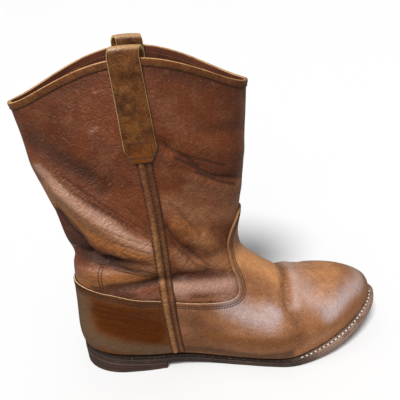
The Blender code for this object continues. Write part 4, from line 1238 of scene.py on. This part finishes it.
def buildSole():
    m = soleMesh
    theta = (np.arange(m["around"]) + 0.5) * turn / m["around"]
    platePiece(
        "outsole_plate", [soleLoop(outline, theta, *row) for row in m["outsoleRows"]],
        [above for inset, above in m["outsoleRows"]], [soleRubber], "outsole")

    breast = np.arccos(2 * sole["heelBreast"] / sole["length"] - 1)
    theta = np.linspace(breast, turn - breast, m["heelAround"])
    loops = []
    for inset, share in m["heelRows"]:
        x, y = insetEdge(outline, theta, inset)
        loops.append(np.stack([x, y, share * (soleLine(x) - sole["gap"])], -1))
    heights = [share * m["heelHeight"] for inset, share in m["heelRows"]]
    platePiece("heel_block", loops, heights, [heelRubber], "heel")

    low = sole["outsole"] + sole["gap"]
    high = low + sole["welt"]
    front = np.arccos(2 * (sole["heelBreast"] + sole["gap"]) / sole["length"] - 1)
    for name, node, angles in (
        ("welt_strip", "welt", np.linspace(-front, front, m["weltAround"])),
        ("heel_rand_strip", "heel_rand", np.linspace(breast, turn - breast, m["randAround"])),
    ):
        sections = np.stack([soleLoop(edge, angles, inset, above) for edge, inset, above in (
            (outline, 0.9, low), (outline, 0.45, low + 0.4), (outline, 0.35, low + 1.1),
            (outline, 0.5, high - 0.4), (outline, 0.9, high), (featherEdge, -0.6, high - 0.1),
            (featherEdge, 0.4, high - 0.3), (featherEdge, leather["wall"], high - 0.3),
            (featherEdge, leather["wall"], low),
        )], axis=1)
        shade = 1 - ease((outline(angles)[0] - m["shadeBack"]) / m["shadeRun"])
        shade = m["weltShade"] * shade[:, None] * np.ones((1, sections.shape[1] + 1))
        stripPiece(name, sections, [weltLeather], node, None,
                   {"fold": 0 * shade, "dark": shade})

    theta = (np.arange(m["insoleAround"]) + 0.5) * turn / m["insoleAround"]
    wall = leather["wall"] + 2 * sole["gap"]
    roof = high + sole["gap"] + sole["insoleStep"]
    rows = [(wall, low)] + [(wall + inset, roof + down) for inset, down in m["insoleRows"]]
    platePiece(
        "insole_board", [soleLoop(featherEdge, theta, *row) for row in rows], [0] * len(rows),
        [insoleLeather], "insole")


# stitches: short rounded threads along a line on the surface
stitches = {  # spacing, length, thickness, start as a share of the spacing
    "side_seam_stitches": (3.6, 2.4, 1.0, 0.5),
    "edge_stitches": (2.6, 2.0, 0.8, 0.5),
    "collar_stitches": (2.5, 1.8, 0.7, 0.5),
    "lining_stitches": (2.5, 1.8, 0.7, 0.5),
    "back_stay_stitches": (2.6, 2.1, 1.0, 0.5),
    "strap_stitches": (2.4, 1.7, 0.7, 0.5),
    "welt_stitches": (4.8, 3.0, 1.25, 0.5),
    # dark bodies between the welt stitches: painted shadow
    "welt_stitch_shadows": (4.8, 2.3, 1.0, 1.0),
}
stitchLines = {
    "sink": 0.35, "reach": 0.4, "around": 6, "ends": 5, "seamPoints": 200, "edgePoints": 200,
    "rimPoints": 400, "stayPoints": 40, "boxPoints": 12, "weltPoints": 500, "seamZ": (19, 213),
    "seamRows": ((-0.41, 0.25), (0.05, 0.35), (0.43, 0.2)),
    "edgeStart": 0.02, "edgeSink": 0.25, "collarDown": 5.3, "collarOut": 0.55, "liningDown": 6.1,
    "stay": ((32, 126), (30, 112), (29, 96)), "stayApart": (-1.2, 1.2), "stayOut": 0.1,
    "boxZ": (219.5, 231.5), "boxHalf": 0.34,
    "weltTurn": 1.75, "weltLedge": 2.6, "weltShare": 0.45, "weltIn": 0.6, "weltOut": 0.05,
}


def stitchRow(bm, points, normals, spacing, length, thick, first):
    gaps = np.linalg.norm(np.diff(points, axis=0), axis=1)
    along = np.concatenate([[0], np.cumsum(gaps)])
    places = np.arange(spacing * first, along[-1], spacing)
    reach = stitchLines["reach"]

    def follow(rows, at):
        return np.stack([np.interp(at, along, column) for column in rows.T], -1)

    out = unit(follow(normals, places))
    path = unit(follow(points, places + reach) - follow(points, places - reach))
    side = unit(np.cross(out, path))
    centre = follow(points, places) - shift + out * thick * (0.5 - stitchLines["sink"])
    axes = (side * thick * 0.5 * mm, out * thick * 0.5 * mm, path * length * 0.5 * mm)
    for place, *halves in zip(centre * mm, *axes):
        turned = Matrix(halves).transposed().to_4x4()
        bmesh.ops.create_uvsphere(
            bm, u_segments=stitchLines["around"], v_segments=stitchLines["ends"], radius=1,
            matrix=Matrix.Translation(place) @ turned)


def faceLine(theta, level, out):
    return upperFace(theta, level, out), outward(*np.broadcast_arrays(theta, level))


def stitchPiece(name, rows, material):
    whole = bmesh.new()
    rowMesh = bpy.data.meshes.new("row")
    for points, normals in rows:
        bm = bmesh.new()
        stitchRow(bm, points, normals, *stitches[name])
        bm.to_mesh(rowMesh)
        bm.free()
        whole.from_mesh(rowMesh)
    bpy.data.meshes.remove(rowMesh)
    for face in whole.faces:
        face.smooth = True
    makePiece(whole, name, [material], None, solid=False)


def buildStitches():
    s = stitchLines
    lift = leather["layerGap"] + leather["layer"]
    seamRows = []
    heights = np.linspace(*s["seamZ"], s["seamPoints"])
    step = 1 - ease((heights - seamStrip["meetZ"]) / seamStrip["stepRun"])
    base = sole["gap"] + lift * step
    for place, rise in s["seamRows"]:
        theta, level = seamPlaces(heights, np.array([place * seamStrip["width"]]))
        for sign in (1, -1):
            seamRows.append(faceLine(sign * theta[:, 0], level[:, 0], base + rise))
    stitchPiece("side_seam_stitches", seamRows, brownThread)

    edgeRows = []
    for end, way in ((1, 1), (0, -1)):
        line = cutPart(seamPlace + way * s["edgeStart"], end, s["edgePoints"])
        for distance in layerMesh["stitchRows"]:
            theta, level = offsetEdge(*line, way * distance)
            for sign in (1, -1):
                edgeRows.append(faceLine(sign * theta, level, lift - s["edgeSink"]))
    stitchPiece("edge_stitches", edgeRows, edgeThread)

    theta = np.linspace(0, turn, s["rimPoints"])
    rim, slope = rimSlope(theta)
    outerRow = faceLine(theta, rim - s["collarDown"] / slope, s["collarOut"])
    points, normals = faceLine(theta, rim - s["liningDown"] / slope, -leather["wall"])
    stitchPiece("collar_stitches", [outerRow], brownThread)
    stitchPiece("lining_stitches", [(points, -normals)], tanThread)

    pairRows = []
    for apart in s["stayApart"]:
        stay = [(x + apart, z) for x, z in s["stay"]]
        theta, level = find(*resample(stay, s["stayPoints"]).T)
        for sign in (1, -1):
            pairRows.append(faceLine(sign * theta, level, s["stayOut"]))
    stitchPiece("back_stay_stitches", pairRows, brownThread)

    boxRows = []
    face = sole["gap"] + strap["thickness"]
    across = np.linspace(-s["boxHalf"], s["boxHalf"], s["boxPoints"])
    stations = [(z, face, 0.0, 1.0, 0.0) for z in np.linspace(*s["boxZ"], s["boxPoints"])]
    for sign in (1, -1):
        box = strapLines(sign, across, stations)
        normal = np.broadcast_to(outward(sign * rimPlace[0], rimPlace[1])[0], box[0].shape)
        for row in (box[0], box[-1], box[:, 0], box[:, -1]):
            boxRows.append((row, normal))
    stitchPiece("strap_stitches", boxRows, brownThread)

    high = sole["outsole"] + sole["gap"] + sole["welt"]
    theta = np.linspace(-s["weltTurn"], s["weltTurn"], s["weltPoints"])
    x = outline(theta)[0]
    ledge = np.where(np.sin(theta) >= 0, plan(x, "lateralLedge"), plan(x, "medialLedge"))
    points = soleLoop(outline, theta, s["weltShare"] * ledge + s["weltIn"], high + s["weltOut"])
    points = points[ledge > s["weltLedge"]]
    weltRow = (points, np.tile([0.0, 0.0, 1.0], (len(points), 1)))
    stitchPiece("welt_stitches", [weltRow], creamThread)
    stitchPiece("welt_stitch_shadows", [weltRow], stitchShadow)


buildUpper()
print("upper done")
buildLayers()
buildSeams()
buildBand()
buildStraps()
print("layers, seams, band and straps done")
buildSole()
print("sole done")
buildStitches()
print("stitches done")

# floor, light and camera
studio = {
    "floor": (0.87, 0.87, 0.87, 1), "floorRough": 0.9, "floorGloss": 0.1, "floorSize": 80.0,
    "world": (1.0, 1.0, 1.0, 1), "worldStrength": 0.3, "aim": (0, 0, 0.12),
    "suns": (  # name, place, angle, strength
        ("keySun", (-0.3, -0.58, 1.0), 16, 3.2),
        ("fillSun", (-0.2, -1.0, 0.45), 50, 0.45),
    ),
}
view = {
    "place": (-0.0523, -0.40935, 0.3485), "yaw": -5.39, "pitch": 24.59, "roll": -3.69,
    "lens": 45.135, "sensor": 36.0, "near": 0.01,
}


def buildStudio():
    bm = bmesh.new()
    bmesh.ops.create_grid(bm, x_segments=1, y_segments=1, size=studio["floorSize"] / 2)
    mesh = bpy.data.meshes.new("floor")
    bm.to_mesh(mesh)
    bm.free()
    paper = Finish("floorPaper", {
        "Base Color": studio["floor"], "Roughness": studio["floorRough"],
        "Specular IOR Level": studio["floorGloss"],
    })
    mesh.materials.append(paper.material)
    floor = bpy.data.objects.new("floor", mesh)
    bpy.context.scene.collection.objects.link(floor)
    floor.visible_diffuse = floor.visible_glossy = False  # keeps pale light off the leather
    world = bpy.data.worlds.new("studio")
    world.use_nodes = True
    sky = world.node_tree.nodes["Background"].inputs
    sky["Color"].default_value = studio["world"]
    sky["Strength"].default_value = studio["worldStrength"]
    bpy.context.scene.world = world
    for name, place, angle, strength in studio["suns"]:
        lamp = bpy.data.lights.new(name, "SUN")
        lamp.energy = strength
        lamp.angle = math.radians(angle)
        holder = bpy.data.objects.new(name, lamp)
        holder.location = place
        holder.rotation_mode = "QUATERNION"
        ray = Vector(studio["aim"]) - Vector(place)
        holder.rotation_quaternion = ray.to_track_quat("-Z", "Y")
        bpy.context.scene.collection.objects.link(holder)
    bpy.context.scene.view_settings.view_transform = "Standard"


def buildCamera():
    yaw, pitch, roll = (math.radians(view[key]) for key in ("yaw", "pitch", "roll"))
    right = Vector((math.cos(yaw), math.sin(yaw), 0))
    ahead = Vector((-math.sin(yaw), math.cos(yaw), 0))
    up = Vector((0, 0, 1))
    gaze = math.cos(pitch) * ahead - math.sin(pitch) * up
    lift = math.sin(pitch) * ahead + math.cos(pitch) * up
    across = math.cos(roll) * right + math.sin(roll) * lift
    upright = math.cos(roll) * lift - math.sin(roll) * right
    turned = Matrix((across, upright, -gaze)).transposed().to_4x4()
    lens = bpy.data.cameras.new("camera")
    lens.lens = view["lens"]
    lens.sensor_width = view["sensor"]
    lens.clip_start = view["near"]
    camera = bpy.data.objects.new("camera", lens)
    camera.matrix_world = Matrix.Translation(view["place"]) @ turned
    bpy.context.scene.collection.objects.link(camera)
    bpy.context.scene.camera = camera


buildStudio()
buildCamera()
print("studio and camera done")
